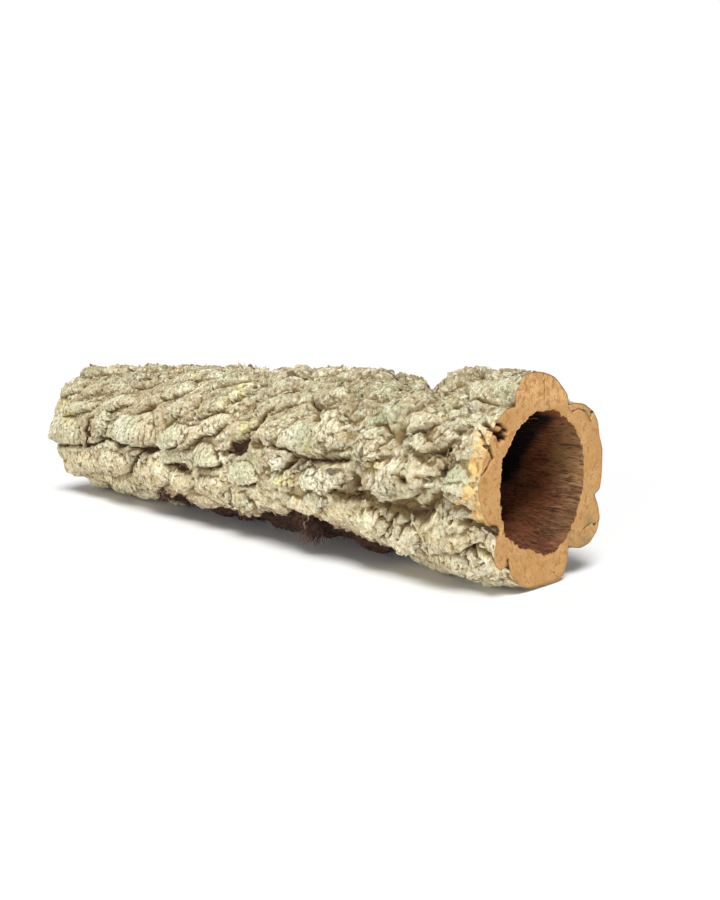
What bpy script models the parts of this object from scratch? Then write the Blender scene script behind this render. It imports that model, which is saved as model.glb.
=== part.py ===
"""A hollow length of cork bark, sawn square at both ends and lying on its side.

The tube runs along X, with the end that is seen best at +X. Places on the bark are given as
(back, round): millimetres back from that end, and degrees round the tube. Round is 0 at the
front (-Y), 90 on top and 180 at the back (+Y).
"""
import math
import random

import bmesh
import bpy
import numpy as np

MM = 0.001

LENGTH = 494.0
BARK_RADIUS = 60.0
TAPER = 0.041
HOLE_RADIUS = 39.6
AXIS_HEIGHT = 58.5
VALLEY_DEPTH = 7.5
GROUND = 3.0

ROUND_STEPS = 128
BARK_ROWS = 132
HOLE_ROWS = 8
KEPT_SHARE = 0.27

END_BLEND = 20.0
RIM_BLEND = 4.0
MOUTH_BLEND = 60.0
RAGGED_NEAR, RAGGED_FAR = 4.4, 1.5
NARROWEST_CRACK = 2.6
WIDE_CRACK = 6.0
SMALLEST_HOLLOW = 3.2
DEEPEST_CRACK = 9.0
DEEPEST_DIP = 12.0
LOWEST_BARK = -8.5
TORN_DEPTH = 4.5
TORN_FROM, TORN_TO = 84.0, 352.0
TORN_LOWEST_ROUND = -84.0
RESTING_GAP = 0.3

# The sawn near end, as (round, radius). It has a notch wherever the radius drops.
NEAR_OUTLINE = [
    (-170, 58), (-166, 53), (-161, 58.8), (-155, 64.2), (-148, 65.6), (-140, 63.2), (-132, 57),
    (-123, 47), (-118, 52), (-111, 59), (-103, 58.6), (-89, 56.8), (-79, 57.6), (-68, 57.4),
    (-57, 54.4), (-52, 50.6), (-48, 56.6), (-42, 57.6), (-35, 53.4), (-29, 46), (-22, 50), (-10, 54.4),
    (1, 58), (8, 57), (18, 55.2), (27, 55), (39, 56.4), (50, 54.4), (57, 50.4), (61, 57), (70, 61.6),
    (77, 61.2), (87, 59.2), (97, 57), (105, 53.6), (113, 50.8), (118, 46.6), (125, 51), (136, 56.6),
    (143, 59.6), (150, 60.6), (159, 59), (169, 60.6), (179, 59.4),
]

# The lumps that show, as (back, round, half length, half width, slope, rise, lip). The slope is
# how far a lump turns anticlockwise, in degrees, and the lip is how much its lower edge stands out.
LUMPS = [
    (468, 4, 32, 21, 0, 8.5, 0.5), (399, 14, 16, 13, 65, 7.5, 0.3), (346, 11, 36, 20, 5, 9.5, 0.5),
    (385, 33, 30, 11, 20, 7.5, 0.2), (425, 52, 40, 15, 10, 7, 0), (362, 62, 28, 13, 15, 8, 0.3),
    (288, 10, 22, 12, 20, 8.5, 0.2), (452, -31, 44, 18, 5, 7.5, 0.3), (388, -22, 32, 18, 10, 8.5, 0.2),
    (326, -27, 30, 18, 25, 8.5, 0.3), (425, -8, 13, 8, 0, 6, 0), (297, 30, 15, 14, 30, 7.5, 0.3),
    (247, 38, 20, 15, 15, 8, 0.3), (290, 34, 18, 13, 10, 7, 0.4), (250, 16, 37, 9, 25, 8.5, 0.2),
    (244, -1, 16, 12, -10, 9.5, 0.8), (200, 25, 10, 6, 20, 7, 0.2), (223, 51, 11, 9, 30, 8.5, 0.3),
    (201, -10, 17, 12, 10, 9, 0.6), (214, -33, 11, 13, 0, 8.5, 0.4), (249, -25, 24, 12, 10, 7.5, 0.3),
    (289, -29, 19, 11, 15, 7, 0.2), (134, 22, 36, 20, 20, 10, 0.5), (155, 4, 15, 9, 35, 8.5, 0.4),
    (121, -5, 24, 11, 15, 8.5, 0.3), (140, -23, 26, 7, 0, 7.5, 0.2), (164, -12, 15, 8, 10, 7.5, 0.2),
    (213, -48, 17, 12, 0, 8, 0.2), (138, 55, 18, 17, 30, 8.5, 0.3), (128, 84, 26, 18, 15, 9.5, 0.2),
    (68, 50, 20, 15, 50, 6.5, 0.1), (47, 37, 17, 10, 35, 8, 0.3), (84, 16, 15, 17, 60, 7.5, 0.3),
    (54, 4, 23, 14, 10, 9, 0.5), (34, 25, 18, 6, 15, 8.5, 0.2), (84, -29, 13, 15, 20, 9, 0.3),
    (66, -38, 14, 14, 40, 8, 0.2), (31, -27, 20, 15, 15, 9, 0.4), (52, 74, 16, 17, 35, 11.5, 0.1),
    (16, 64, 18, 18, 20, 9.5, 0.2), (20, 37, 15, 10, 40, 8, 0.2), (15, 2, 13, 14, 0, 9.5, 0.4),
    (12, -20, 14, 12, 10, 8.5, 0.3), (25, -53, 32, 14, 10, 9, 0.3), (480, -40, 22, 15, 0, 8, 0.2),
    (335, -52, 30, 12, 5, 8, 0.2), (278, -50, 26, 12, 5, 8, 0.2), (402, -50, 32, 12, 0, 8, 0.2),
    (303, 72, 28, 15, 15, 8.5, 0.3), (340, 90, 26, 14, 10, 9, 0.2), (255, 70, 24, 16, 20, 8.5, 0.3),
    (200, 74, 24, 15, 20, 9, 0.3), (168, 90, 22, 14, 20, 9, 0.2), (472, 48, 26, 15, 10, 9.5, 0.2),
    (445, 82, 28, 16, 5, 8.5, 0.2), (395, 88, 24, 14, 10, 8.5, 0.2), (482, 74, 18, 16, 0, 9.5, 0.2),
    (180, 43, 22, 14, 25, 7.5, 0.2), (172, 20, 18, 11, 30, 6, 0.1), (186, 60, 20, 13, 25, 8, 0.2),
    (104, 41, 18, 13, 30, 7.5, 0.3), (102, -14, 14, 8, 20, 7, 0.3), (305, 51, 20, 13, 20, 8, 0.3),
    (335, 36, 20, 13, 25, 8, 0.2), (90, 60, 16, 12, 30, 5.5, 0.1), (8, 93, 16, 14, 0, 8, 0.2),
    (230, 90, 24, 14, 10, 9, 0.2), (280, 92, 22, 14, 10, 8.5, 0.2), (450, 24, 30, 12, 10, 8, 0.2),
    (46, 92, 17, 14, 0, 10, 0.2), (202, 93, 9, 12, 10, 10, 0.2), (24, 92, 12, 12, 0, 9.5, 0.2),
]

# The rest of the bark carries rows of lumps of about this size, staggered like tiles.
REST_FROM, REST_TO = 104.0, 300.0
REST_LENGTH, REST_WIDTH = 46.0, 27.0
REST_SEED = 11

# Open cracks, each as (width, depth, [(back, round), ...]).
CRACKS = [
    (2.8, 5.6, [(224, 1), (207, 4), (196, 16), (186, 29), (177, 37)]),
    (1.9, 4, [(266, 54), (272, 44), (268, 32), (260, 25)]),
    (2.2, 4.8, [(332, -7), (347, -16), (362, -28), (372, -38)]),
    (2.8, 4.8, [(441, -13), (414, -9), (391, -1), (358, -4), (335, -7), (308, -3)]),
    (2.5, 4.8, [(494, -17), (470, -16), (445, -13)]),
    (2.2, 4, [(433, 3), (425, 12), (419, 17)]),
    (2.2, 4.8, [(264, -10), (246, -13), (230, -10)]),
    (2.5, 4, [(300, -16), (282, -20), (270, -21)]),
    (2.2, 4.8, [(220, -19), (209, -21), (192, -19)]),
    (2.5, 4.8, [(170, 11), (152, 10), (135, 6), (120, 5), (100, 8)]),
    (1.7, 4, [(160, -4), (150, 2), (141, 8)]),
    (1.7, 4, [(147, -4), (140, 3), (134, 7)]),
    (4.4, 5.6, [(110, -15), (96, -14), (84, -12)]),
    (5.5, 5.6, [(78, -17), (64, -20), (52, -21), (40, -17), (32, -8), (26, -2)]),
    (1.9, 4, [(22, 15), (28, 10), (27, 3), (29, -3), (19, -6), (10, -10)]),
    (1.9, 4, [(66, -24), (74, -34), (84, -43)]),
    (1.7, 3.2, [(56, -26), (67, -40)]),
    (1.9, 3.2, [(82, 31), (75, 32), (69, 26), (74, 17)]),
    (2.2, 4, [(150, 52), (134, 36), (126, 28)]),
    (2.8, 4, [(30, -42), (14, -36), (0, -40)]),
    (2.2, 4, [(378, 54), (368, 70), (345, 62)]),
    (4.2, 8.5, [(0, -28), (5, -24), (12, -20)]),
    (2.2, 6, [(17, -38), (12, -44), (9, -49)]),
    (1.3, 5, [(0, 34), (9, 38)]),
    (1.3, 5, [(0, 24), (5, 29), (9, 32)]),
    (2.8, 4, [(0, 57), (16, 53), (34, 49)]),
    (3.3, 5.6, [(0, 118), (26, 112), (62, 119), (104, 114)]),
    (3.3, 5.6, [(0, -166), (34, -160), (76, -166), (130, -158)]),
    (3.3, 5.6, [(0, -123), (38, -118), (84, -126), (150, -121)]),
    (2.2, 4, [(0, -52), (16, -48), (40, -45)]),
    (3.3, 4.8, [(494, 132), (440, 126), (392, 136), (330, 129), (262, 137)]),
    (3.3, 4.8, [(494, -134), (450, -140), (396, -131), (340, -138), (286, -130)]),
    (2.8, 4.8, [(260, 168), (210, 160), (168, 170), (140, 164)]),
    (2.8, 4.8, [(420, 172), (372, 164), (330, 176)]),
    (8.5, 11, [(101, 114), (79, 91), (56, 67)]),
    (13, 4, [(122, 114), (101, 91), (80, 69)]),
    (7, 4.5, [(256, 112), (235, 91), (213, 70)]),
]

# Hollows, each as (back, round, half length, half width, depth).
HOLLOWS = [
    (207, 7, 10, 6, 9), (50, 3, 3, 3, 5), (29, 20, 6, 3, 5), (101, 40, 4, 3, 4), (92, -5, 5, 4, 4),
    (62, 27, 6, 6, 5),
    (426, 12, 5, 5, 4), (360, 152, 13, 6, 6),
    (214, 196, 11, 7, 6), (96, 148, 12, 7, 6), (420, -116, 14, 6, 5),
    (427, -2, 7, 11, 5), (367, -4, 6, 4, 4), (327, -7, 9, 3, 5), (282, -17, 12, 6, 4),
    (267, 33, 2.5, 8, 4), (301, 22, 5, 6, 3.5), (362, 58, 11, 3, 4), (185, 11, 11, 4, 3.5),
    (143, 46, 2.5, 3, 3.5), (133, 34, 3, 5, 3.5), (91, -4, 4.5, 3.5, 5), (97, -15, 12, 3, 5),
    (257, 43, 4, 5, 3.5), (202, 37, 2.5, 2.2, 3), (52, -17, 14, 6.5, 6.5), (25, 9, 3, 3, 3.5),
    (103, 42, 3, 6, 3.5), (6, 12, 3, 3.5, 3), (72, 56, 4, 2.5, 3), (330, 30, 6, 3, 3),
    (410, 32, 4, 3, 3), (455, 46, 5, 2.5, 3), (230, 66, 5, 3, 3.5), (172, 54, 3, 3, 3),
]

# The ragged edge at the front, as (back, round), below which the bark is torn away.
TORN_EDGE = [
    (84, -58), (100, -50), (112, -45), (128, -41), (141, -38), (147, -32), (155, -31), (170, -42),
    (184, -43), (204, -46), (235, -51), (263, -51), (291, -48), (326, -48), (352, -46),
]

# The mouth of the hollow at the near end, as (round, radius).
HOLE_OUTLINE = [
    (-165, 38.6), (-144, 39.7), (-125, 41.3), (-107, 42.1), (-96, 41.8), (-75, 37.7), (-54, 38.6),
    (-36, 42.3), (-28, 41.5), (-9, 40.1), (9, 39.8), (22, 41.2), (36, 39.5), (51, 39.5), (70, 39.9),
    (87, 39.2), (101, 39.4), (114, 38.6), (137, 40.0), (158, 40.4), (177, 39.7),
]


def clear_scene():
    """Take away whatever the file opened with."""
    for old in list(bpy.data.objects):
        bpy.data.objects.remove(old, do_unlink=True)


def lattice(seed, size=32):
    """Return one random direction for each cell of a repeating grid."""
    draws = np.random.RandomState(seed).normal(size=(size, size, size, 3))
    return draws / np.linalg.norm(draws, axis=-1, keepdims=True)


def noise(points, wavelength, seed):
    """Return smooth noise from about -1 to 1 at points, with lumps of about one wavelength."""
    grid = lattice(seed)
    place = points / wavelength
    cell = np.floor(place).astype(int)
    inside = place - cell
    fade = inside ** 3 * (inside * (inside * 6 - 15) + 10)
    total = np.zeros(len(points))
    for corner in np.ndindex(2, 2, 2):
        index = (cell + corner) % grid.shape[0]
        slope = grid[index[:, 0], index[:, 1], index[:, 2]]
        weight = np.prod(np.where(corner, fade, 1 - fade), axis=1)
        total += weight * np.sum(slope * (inside - corner), axis=1)
    return total * 1.6


def rough(points, wavelength, seed):
    """Return noise with finer noise laid over it, each octave half as strong."""
    octaves = [noise(points, wavelength / 2 ** step, seed + 101 * step) / 2 ** step for step in range(3)]
    return sum(octaves)


def turned(degrees):
    """Bring an angle into the range from -180 to 180."""
    return (degrees + 180.0) % 360.0 - 180.0


def arc(degrees):
    """Return the length round the bark that an angle spans."""
    return np.radians(turned(degrees)) * BARK_RADIUS


def rest_lumps():
    """Lay staggered rows of lumps over the back and the underside."""
    draws = random.Random(REST_SEED)
    rows = round(math.radians(REST_TO - REST_FROM) * BARK_RADIUS / REST_WIDTH)
    columns = round(LENGTH / REST_LENGTH)
    lumps = []
    for row in range(rows):
        for column in range(columns + 1):
            back = (column + 0.5 * (row % 2)) * REST_LENGTH + draws.uniform(-11, 11)
            around = REST_FROM + (row + 0.5) * (REST_TO - REST_FROM) / rows + draws.uniform(-5, 5)
            lumps.append((back, around, REST_LENGTH * draws.uniform(0.4, 0.72),
                          REST_WIDTH * draws.uniform(0.42, 0.7), draws.uniform(0, 35),
                          draws.uniform(7.0, 9.8), draws.uniform(0.1, 0.6)))
    return lumps


def eased(value, low, high):
    """Return 0 below low, 1 above high, and a smooth step between."""
    share = np.clip((value - low) / (high - low), 0.0, 1.0)
    return share * share * (3.0 - 2.0 * share)


def lump_height(back, around, lump):
    """Return how far one lump stands above the valleys, which is negative outside it.

    It rises gently from its upper edge to a rounded lip near its lower one, and falls away
    steeply below the lip.
    """
    lump_back, lump_around, half_length, half_width, slope, rise, lip = lump
    along = lump_back - back
    across = arc(around - lump_around)
    cosine, sine = math.cos(math.radians(slope)), math.sin(math.radians(slope))
    end = (along * cosine + across * sine) / half_length
    side = (across * cosine - along * sine) / half_width
    rising = eased(1.15 - side, 0.0, 1.15 + 0.35 * lip)
    falling = np.clip(-side - 0.35, 0.0, 4.0) / 0.65
    return (rise + lip) * (rising - falling ** 2.4 - np.abs(end) ** 3.0)


def crack_depth(back, around, crack):
    """Return how deep one crack is at each place."""
    width, depth, route = crack
    nearest = np.full(back.shape, np.inf)
    for (back_a, around_a), (back_b, around_b) in zip(route, route[1:]):
        step_back, step_arc = back_b - back_a, float(arc(around_b - around_a))
        from_back, from_arc = back - back_a, arc(around - around_a)
        share = (from_back * step_back + from_arc * step_arc) / (step_back ** 2 + step_arc ** 2)
        share = np.clip(share, 0.0, 1.0)
        nearest = np.minimum(nearest, np.hypot(from_back - share * step_back, from_arc - share * step_arc))
    return depth * np.exp(-(nearest / max(width, NARROWEST_CRACK)) ** 2)


def hollow_depth(back, around, hollow):
    """Return how deep one hollow is at each place."""
    hollow_back, hollow_around, half_length, half_width, depth = hollow
    along = (back - hollow_back) / max(half_length, SMALLEST_HOLLOW)
    across = arc(around - hollow_around) / max(half_width, SMALLEST_HOLLOW)
    return depth * np.exp(-(along ** 2 + across ** 2) ** 1.5)


def torn_depth(back, around):
    """Return how deep the bark is torn away below its ragged lower edge at the front."""
    backs, rounds = np.array(TORN_EDGE).T
    below = arc(np.interp(back, backs, rounds) - around)
    ends = eased(back, TORN_FROM, TORN_FROM + 16.0) * (1.0 - eased(back, TORN_TO - 14.0, TORN_TO))
    return TORN_DEPTH * eased(below, 0.0, 4.0) * eased(arc(around - TORN_LOWEST_ROUND), 0.0, 8.0) * ends


def at_round(outline, around):
    """Return the radius of a closed outline, listed as (round, radius), at each angle."""
    angles, radii = np.array(outline).T
    return np.interp(turned(around), angles, radii, period=360.0)


def lumps_height(back, around, points):
    """Return how far the lumps and the ground between them stand above the valleys."""
    ragged = RAGGED_NEAR + (RAGGED_FAR - RAGGED_NEAR) * eased(back, 90.0, 230.0)
    warped_back = back + 4.0 * noise(points, 26.0, 1) + ragged * rough(points, 12.0, 23)
    warped_around = around + 4.0 * noise(points, 26.0, 2) + ragged * rough(points, 12.0, 24)
    height = GROUND + 1.3 * noise(points, 45.0, 3) + 0.9 * noise(points, 18.0, 12)
    for lump in LUMPS + rest_lumps():
        height = np.maximum(height, lump_height(warped_back, warped_around, lump))
    return height


def cut_depth(back, around):
    """Return how deep the cracks, the hollows and the torn edge are at places on the bark."""
    opened, dipped = torn_depth(back, around), np.zeros(back.shape)
    for crack in CRACKS:
        depth = crack_depth(back, around, crack)
        if crack[0] > WIDE_CRACK:
            dipped = dipped + depth
        else:
            opened = opened + depth
    opened = opened + sum(hollow_depth(back, around, hollow) for hollow in HOLLOWS)
    return np.minimum(np.minimum(opened, DEEPEST_CRACK) + dipped, DEEPEST_DIP)


def bark_radius(back, around):
    """Return the bark's radius at places on it, in millimetres."""
    degrees = np.radians(around)
    points = np.stack([back, BARK_RADIUS * np.cos(degrees), BARK_RADIUS * np.sin(degrees)], axis=1)
    valley = BARK_RADIUS - VALLEY_DEPTH - BARK_RADIUS * TAPER * back / LENGTH
    share = np.clip(back / END_BLEND, 0.0, 1.0) ** 1.5
    whole = valley + lumps_height(back, around, points)
    whole = at_round(NEAR_OUTLINE, around) * (1 - share) + whole * share
    cut = cut_depth(back, around) * np.clip(back / RIM_BLEND, 0.0, 1.0)
    return np.maximum(whole - cut, valley + LOWEST_BARK)


def hole_radius(back, around):
    """Return the radius of the hollow at places along it, in millimetres."""
    degrees = np.radians(around)
    points = np.stack([back * 0.3, HOLE_RADIUS * np.cos(degrees), HOLE_RADIUS * np.sin(degrees)], axis=1)
    wide = HOLE_RADIUS + 1.6 * noise(points, 30.0, 4)
    mouth = (at_round(HOLE_OUTLINE, around) - wide) * (1.0 - eased(back, 0.0, MOUTH_BLEND))
    return wide + mouth - HOLE_RADIUS * TAPER * back / LENGTH


def spun_wall():
    """Spin the wall's section round the tube's axis: a closed ring, still smooth and round."""
    bark = [(back, BARK_RADIUS) for back in np.linspace(0.0, LENGTH, BARK_ROWS + 1)]
    hole = [(back, HOLE_RADIUS) for back in np.linspace(LENGTH, 0.0, HOLE_ROWS + 1)]
    mesh = bmesh.new()
    section = [mesh.verts.new((LENGTH / 2 - back, -radius, 0.0)) for back, radius in bark + hole]
    edges = [mesh.edges.new(pair) for pair in zip(section, section[1:] + section[:1])]
    bmesh.ops.spin(mesh, geom=section + edges, cent=(0, 0, 0), axis=(1, 0, 0), dvec=(0, 0, 0),
                   angle=2 * math.pi, steps=ROUND_STEPS, use_merge=True, use_duplicate=False)
    bmesh.ops.remove_doubles(mesh, verts=mesh.verts, dist=0.01)
    bmesh.ops.recalc_face_normals(mesh, faces=mesh.faces)
    return mesh


def shape_wall(mesh):
    """Move each point of the smooth ring to where the bark or the hollow has it."""
    verts = list(mesh.verts)
    spots = np.array([vert.co[:] for vert in verts])
    back = LENGTH / 2 - spots[:, 0]
    around = np.degrees(np.arctan2(spots[:, 2], -spots[:, 1]))
    outside = np.hypot(spots[:, 1], spots[:, 2]) > (BARK_RADIUS + HOLE_RADIUS) / 2
    radius = np.where(outside, bark_radius(back, around), hole_radius(back, around))
    degrees = np.radians(around)
    side = -radius * np.cos(degrees)
    height = np.maximum(AXIS_HEIGHT + radius * np.sin(degrees), 0.0)
    for vert, x, y, z in zip(verts, spots[:, 0], side, height):
        vert.co = (x * MM, y * MM, z * MM)


def true_up(mesh):
    """Bring back to their planes the points near the two sawn ends and the resting flats."""
    for vert in mesh.verts:
        if LENGTH / 2 - abs(vert.co.x) / MM < RESTING_GAP:
            vert.co.x = math.copysign(LENGTH / 2 * MM, vert.co.x)
        if vert.co.z / MM < RESTING_GAP:
            vert.co.z = 0.0


def fewer_faces(part):
    """Spend the faces where the bark bends most, and few where it is plain."""
    fewer = part.modifiers.new("fewer faces", "DECIMATE")
    fewer.ratio = KEPT_SHARE
    shaped = bpy.data.meshes.new_from_object(part.evaluated_get(bpy.context.evaluated_depsgraph_get()))
    part.modifiers.clear()
    mesh = bmesh.new()
    mesh.from_mesh(shaped)
    bpy.data.meshes.remove(shaped)
    true_up(mesh)
    mesh.to_mesh(part.data)
    mesh.free()


def cork_material():
    """Return the dry grey-brown of cork bark."""
    material = bpy.data.materials.new("cork_bark")
    material.use_nodes = True
    shader = material.node_tree.nodes["Principled BSDF"]
    shader.inputs["Base Color"].default_value = (0.47, 0.42, 0.31, 1.0)
    shader.inputs["Roughness"].default_value = 0.9
    shader.inputs["Metallic"].default_value = 0.0
    return material


def build_tube():
    """Model the bark tube, the one piece there is."""
    mesh = spun_wall()
    shape_wall(mesh)
    data = bpy.data.meshes.new("cork_tube")
    mesh.to_mesh(data)
    mesh.free()
    part = bpy.data.objects.new("cork_tube", data)
    bpy.context.collection.objects.link(part)
    part.data.materials.append(cork_material())
    fewer_faces(part)
    return part


def main():
    """Build the model."""
    clear_scene()
    build_tube()


main()
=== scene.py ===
"""A hollow length of cork bark lying on a pale studio floor.

The tube runs along X with its sawn, open end at +X. Places on it are given as millimetres back
from that end and as degrees round it: 0 at the front, 90 on top and 180 at the back.
"""
import logging
import math
import random
from dataclasses import dataclass, field
from enum import Enum, IntEnum

import bmesh
import bpy
import numpy as np
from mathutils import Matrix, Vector


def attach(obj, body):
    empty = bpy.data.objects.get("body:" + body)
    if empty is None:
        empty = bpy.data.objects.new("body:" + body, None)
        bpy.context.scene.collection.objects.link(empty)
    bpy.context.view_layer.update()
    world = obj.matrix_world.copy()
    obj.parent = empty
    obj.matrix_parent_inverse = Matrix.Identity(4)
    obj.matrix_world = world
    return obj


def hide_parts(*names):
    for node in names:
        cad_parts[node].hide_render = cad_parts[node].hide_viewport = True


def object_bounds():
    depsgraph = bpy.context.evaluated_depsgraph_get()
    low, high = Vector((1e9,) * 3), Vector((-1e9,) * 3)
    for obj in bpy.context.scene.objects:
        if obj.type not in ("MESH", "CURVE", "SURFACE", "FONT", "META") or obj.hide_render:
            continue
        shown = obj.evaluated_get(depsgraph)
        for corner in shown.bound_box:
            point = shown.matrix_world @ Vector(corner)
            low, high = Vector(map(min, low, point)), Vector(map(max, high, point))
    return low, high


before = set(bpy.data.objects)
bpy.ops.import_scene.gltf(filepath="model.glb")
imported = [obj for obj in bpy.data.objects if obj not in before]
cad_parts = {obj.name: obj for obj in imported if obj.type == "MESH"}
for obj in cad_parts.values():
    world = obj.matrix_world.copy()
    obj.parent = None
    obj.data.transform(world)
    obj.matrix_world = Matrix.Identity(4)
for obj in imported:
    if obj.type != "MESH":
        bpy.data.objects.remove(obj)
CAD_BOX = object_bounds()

LOG = logging.getLogger("cork_branch")

MM = 0.001
LENGTH = 494.0
BARK_RADIUS = 60.0
HOLE_RADIUS = 39.6
TAPER = 0.041
AXIS_HEIGHT = 58.5
VALLEY_DEPTH = 7.5
GROUND = 3.0

# The bark's form takes over from the sawn outline within the blend. Cracks set in sooner.
END_BLEND = 20.0
RIM_BLEND = 4.0

# The back swells out less than the front past this distance from the axis.
BACK_REACH = 58.8
BACK_PRESS = 0.75

# No lump reaches further than this from its middle.
LUMP_LENGTH, LUMP_WIDTH = 70.0, 50.0

ROUND_STEPS = 464


class Seed(IntEnum):
    """Seeds of the noises and the random draws."""

    WARP_BACK = 1
    WARP_ROUND = 2
    SWELL = 3
    HOLE = 4
    REST = 11
    SMALL_SWELL = 12
    JAG_BACK = 21
    JAG_ROUND = 22
    RAGGED_BACK = 23
    RAGGED_ROUND = 24
    CRUST = 31
    BARE = 33
    CRUMBS = 41
    UPPER = 43
    PITS = 45
    PIT_FIELDS = 46
    LOWER = 47
    DEEP = 48
    FAR = 49
    BOW = 51
    FINE_RIBS = 52
    STRONG_RIBS = 53
    RIB_FIELDS = 54
    SMALL_BOW = 55
    WIDE_LAYERS = 61
    WIDE_FIELDS = 64
    NARROW_LAYERS = 71
    NARROW_FIELDS = 74
    HOLE_FIBRES = 81
    HOLE_RIDGES = 84
    HOLE_CRUMBS = 86
    HOLE_STRAY = 88
    HOLE_MOUTH = 89
    SAW_MARKS = 91
    SAW_PITS = 92
    PALE = 93
    SLITS = 95
    TORN_FIBRES = 97
    TORN_THREADS = 98
    FLAKE_SEATS = 301
    FLAKES = 302
    CRUMB_SEATS = 303
    LOOSE_CRUMBS = 304
    FRINGE = 311
    EDGE_SEATS = 312
    EDGE_FIBRES = 313
    ROOT_SEATS = 314
    ROOTS = 315
    INNER = 321
    INNER_SEATS = 322
    INNER_FIBRES = 323


class Slot(Enum):
    """The record's one material slot."""

    BARK = "cork_bark"


def turned(degrees: np.ndarray) -> np.ndarray:
    """Bring angles into the range from -180 to 180."""
    return (degrees + 180.0) % 360.0 - 180.0


def arc(degrees: np.ndarray) -> np.ndarray:
    """Return the length round the bark that an angle spans, in millimetres."""
    return np.radians(turned(degrees)) * BARK_RADIUS


def eased(value: np.ndarray, low: float, high: float) -> np.ndarray:
    """Return 0 below low, 1 above high, and a smooth step between."""
    share = np.clip((value - low) / (high - low), 0.0, 1.0)
    return share * share * (3.0 - 2.0 * share)


def unit(vectors: np.ndarray) -> np.ndarray:
    """Return vectors brought to a length of 1."""
    return vectors / np.maximum(np.linalg.norm(vectors, axis=-1, keepdims=True), 1e-9)


def from_stretch(off: tuple[np.ndarray, np.ndarray], step: tuple[float, float]) -> np.ndarray:
    """Return how far places on a flat are from a straight stretch.

    Args:
        off: How far each place is from the stretch's start, in two directions.
        step: The stretch's own run in the same directions.

    Returns:
        One distance for each place.
    """
    share = np.clip((off[0] * step[0] + off[1] * step[1]) / (step[0] ** 2 + step[1] ** 2), 0.0, 1.0)
    return np.hypot(off[0] - share * step[0], off[1] - share * step[1])


@dataclass
class Spots:
    """Places on the tube, each a distance back and an angle round.

    Attributes:
        back: Millimetres back from the sawn near end.
        around: Degrees round the tube.
    """

    back: np.ndarray
    around: np.ndarray

    def points(self, radius: float = BARK_RADIUS, squeeze: float = 1.0) -> np.ndarray:
        """Return the places as points on a plain cylinder, in millimetres.

        Args:
            radius: The cylinder's radius.
            squeeze: How much the length is drawn together, so that a pattern runs lengthwise.

        Returns:
            Three numbers for each place.
        """
        angle = np.radians(self.around)
        return np.stack([self.back * squeeze, radius * np.cos(angle), radius * np.sin(angle)], axis=-1)


class Grain:
    """Smooth seeded noise in three dimensions."""

    SIZE = 32
    GAIN = 1.6
    OCTAVE_STEP = 101

    def __init__(self) -> None:
        """Start with no grid of directions drawn yet."""
        self._grids: dict[int, np.ndarray] = {}

    def _grid(self, seed: int) -> np.ndarray:
        """Return the repeating grid of random directions for a seed."""
        if seed not in self._grids:
            draws = np.random.RandomState(seed).normal(size=(self.SIZE, self.SIZE, self.SIZE, 3))
            self._grids[seed] = draws / np.linalg.norm(draws, axis=-1, keepdims=True)
        return self._grids[seed]

    def noise(self, points: np.ndarray, wavelength: float, seed: int) -> np.ndarray:
        """Return noise from about -1 to 1.

        Args:
            points: Where to read it, three numbers for each place.
            wavelength: The size of its lumps, in the points' unit.
            seed: Which noise it is.

        Returns:
            One number for each place.
        """
        grid = self._grid(seed)
        place = points / wavelength
        cell = np.floor(place).astype(int)
        inside = place - cell
        fade = inside ** 3 * (inside * (inside * 6 - 15) + 10)
        total = np.zeros(points.shape[:-1])
        for corner in np.ndindex(2, 2, 2):
            index = (cell + corner) % self.SIZE
            slope = grid[index[..., 0], index[..., 1], index[..., 2]]
            weight = np.prod(np.where(corner, fade, 1 - fade), axis=-1)
            total += weight * np.sum(slope * (inside - corner), axis=-1)
        return total * self.GAIN

    def rough(self, points: np.ndarray, wavelength: float, seed: int, octaves: int = 3) -> np.ndarray:
        """Return noise with finer noise laid over it, each octave half as strong.

        Args:
            points: Where to read it, three numbers for each place.
            wavelength: The size of its largest lumps, in the points' unit.
            seed: Which noise it is.
            octaves: How many noises are laid over each other.

        Returns:
            One number for each place.
        """
        total = np.zeros(points.shape[:-1])
        for octave in range(octaves):
            finer = self.noise(points, wavelength / 2 ** octave, seed + self.OCTAVE_STEP * octave)
            total += finer / 2 ** octave
        return total


@dataclass(frozen=True)
class Lump:
    """One bulging plate of bark, in millimetres and degrees.

    Attributes:
        back: How far back its middle is.
        around: The angle of its middle.
        half_length: Half its length.
        half_width: Half its width.
        slope: How far it is turned anticlockwise.
        rise: How far it stands above the valleys.
        lip: How much its lower edge stands out.
    """

    back: float
    around: float
    half_length: float
    half_width: float
    slope: float
    rise: float
    lip: float

    def near(self, spots: Spots) -> tuple[np.ndarray, ...]:
        """Return the indices of the places that the lump could reach."""
        off_arc = np.abs(arc(spots.around - self.around))
        return np.nonzero((np.abs(spots.back - self.back) < LUMP_LENGTH) & (off_arc < LUMP_WIDTH))

    def local(self, spots: Spots) -> tuple[np.ndarray, np.ndarray]:
        """Return places in the lump's own directions, lengthwise and across, in millimetres."""
        along = self.back - spots.back
        across = arc(spots.around - self.around)
        cosine, sine = math.cos(math.radians(self.slope)), math.sin(math.radians(self.slope))
        return along * cosine + across * sine, across * cosine - along * sine

    def height(self, end: np.ndarray, side: np.ndarray) -> np.ndarray:
        """Return the lump's height over the valleys.

        It rises gently from its upper edge to a rounded lip near its lower one, and falls away
        steeply below the lip.

        Args:
            end: Places lengthwise from the lump's middle.
            side: The same places across it.

        Returns:
            One height for each place.
        """
        end, side = end / self.half_length, side / self.half_width
        rising = eased(1.15 - side, 0.0, 1.15 + 0.35 * self.lip)
        falling = np.clip(-side - 0.35, 0.0, 4.0) / 0.65
        return (self.rise + self.lip) * (rising - falling ** 2.4 - np.abs(end) ** 3.0)


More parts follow.
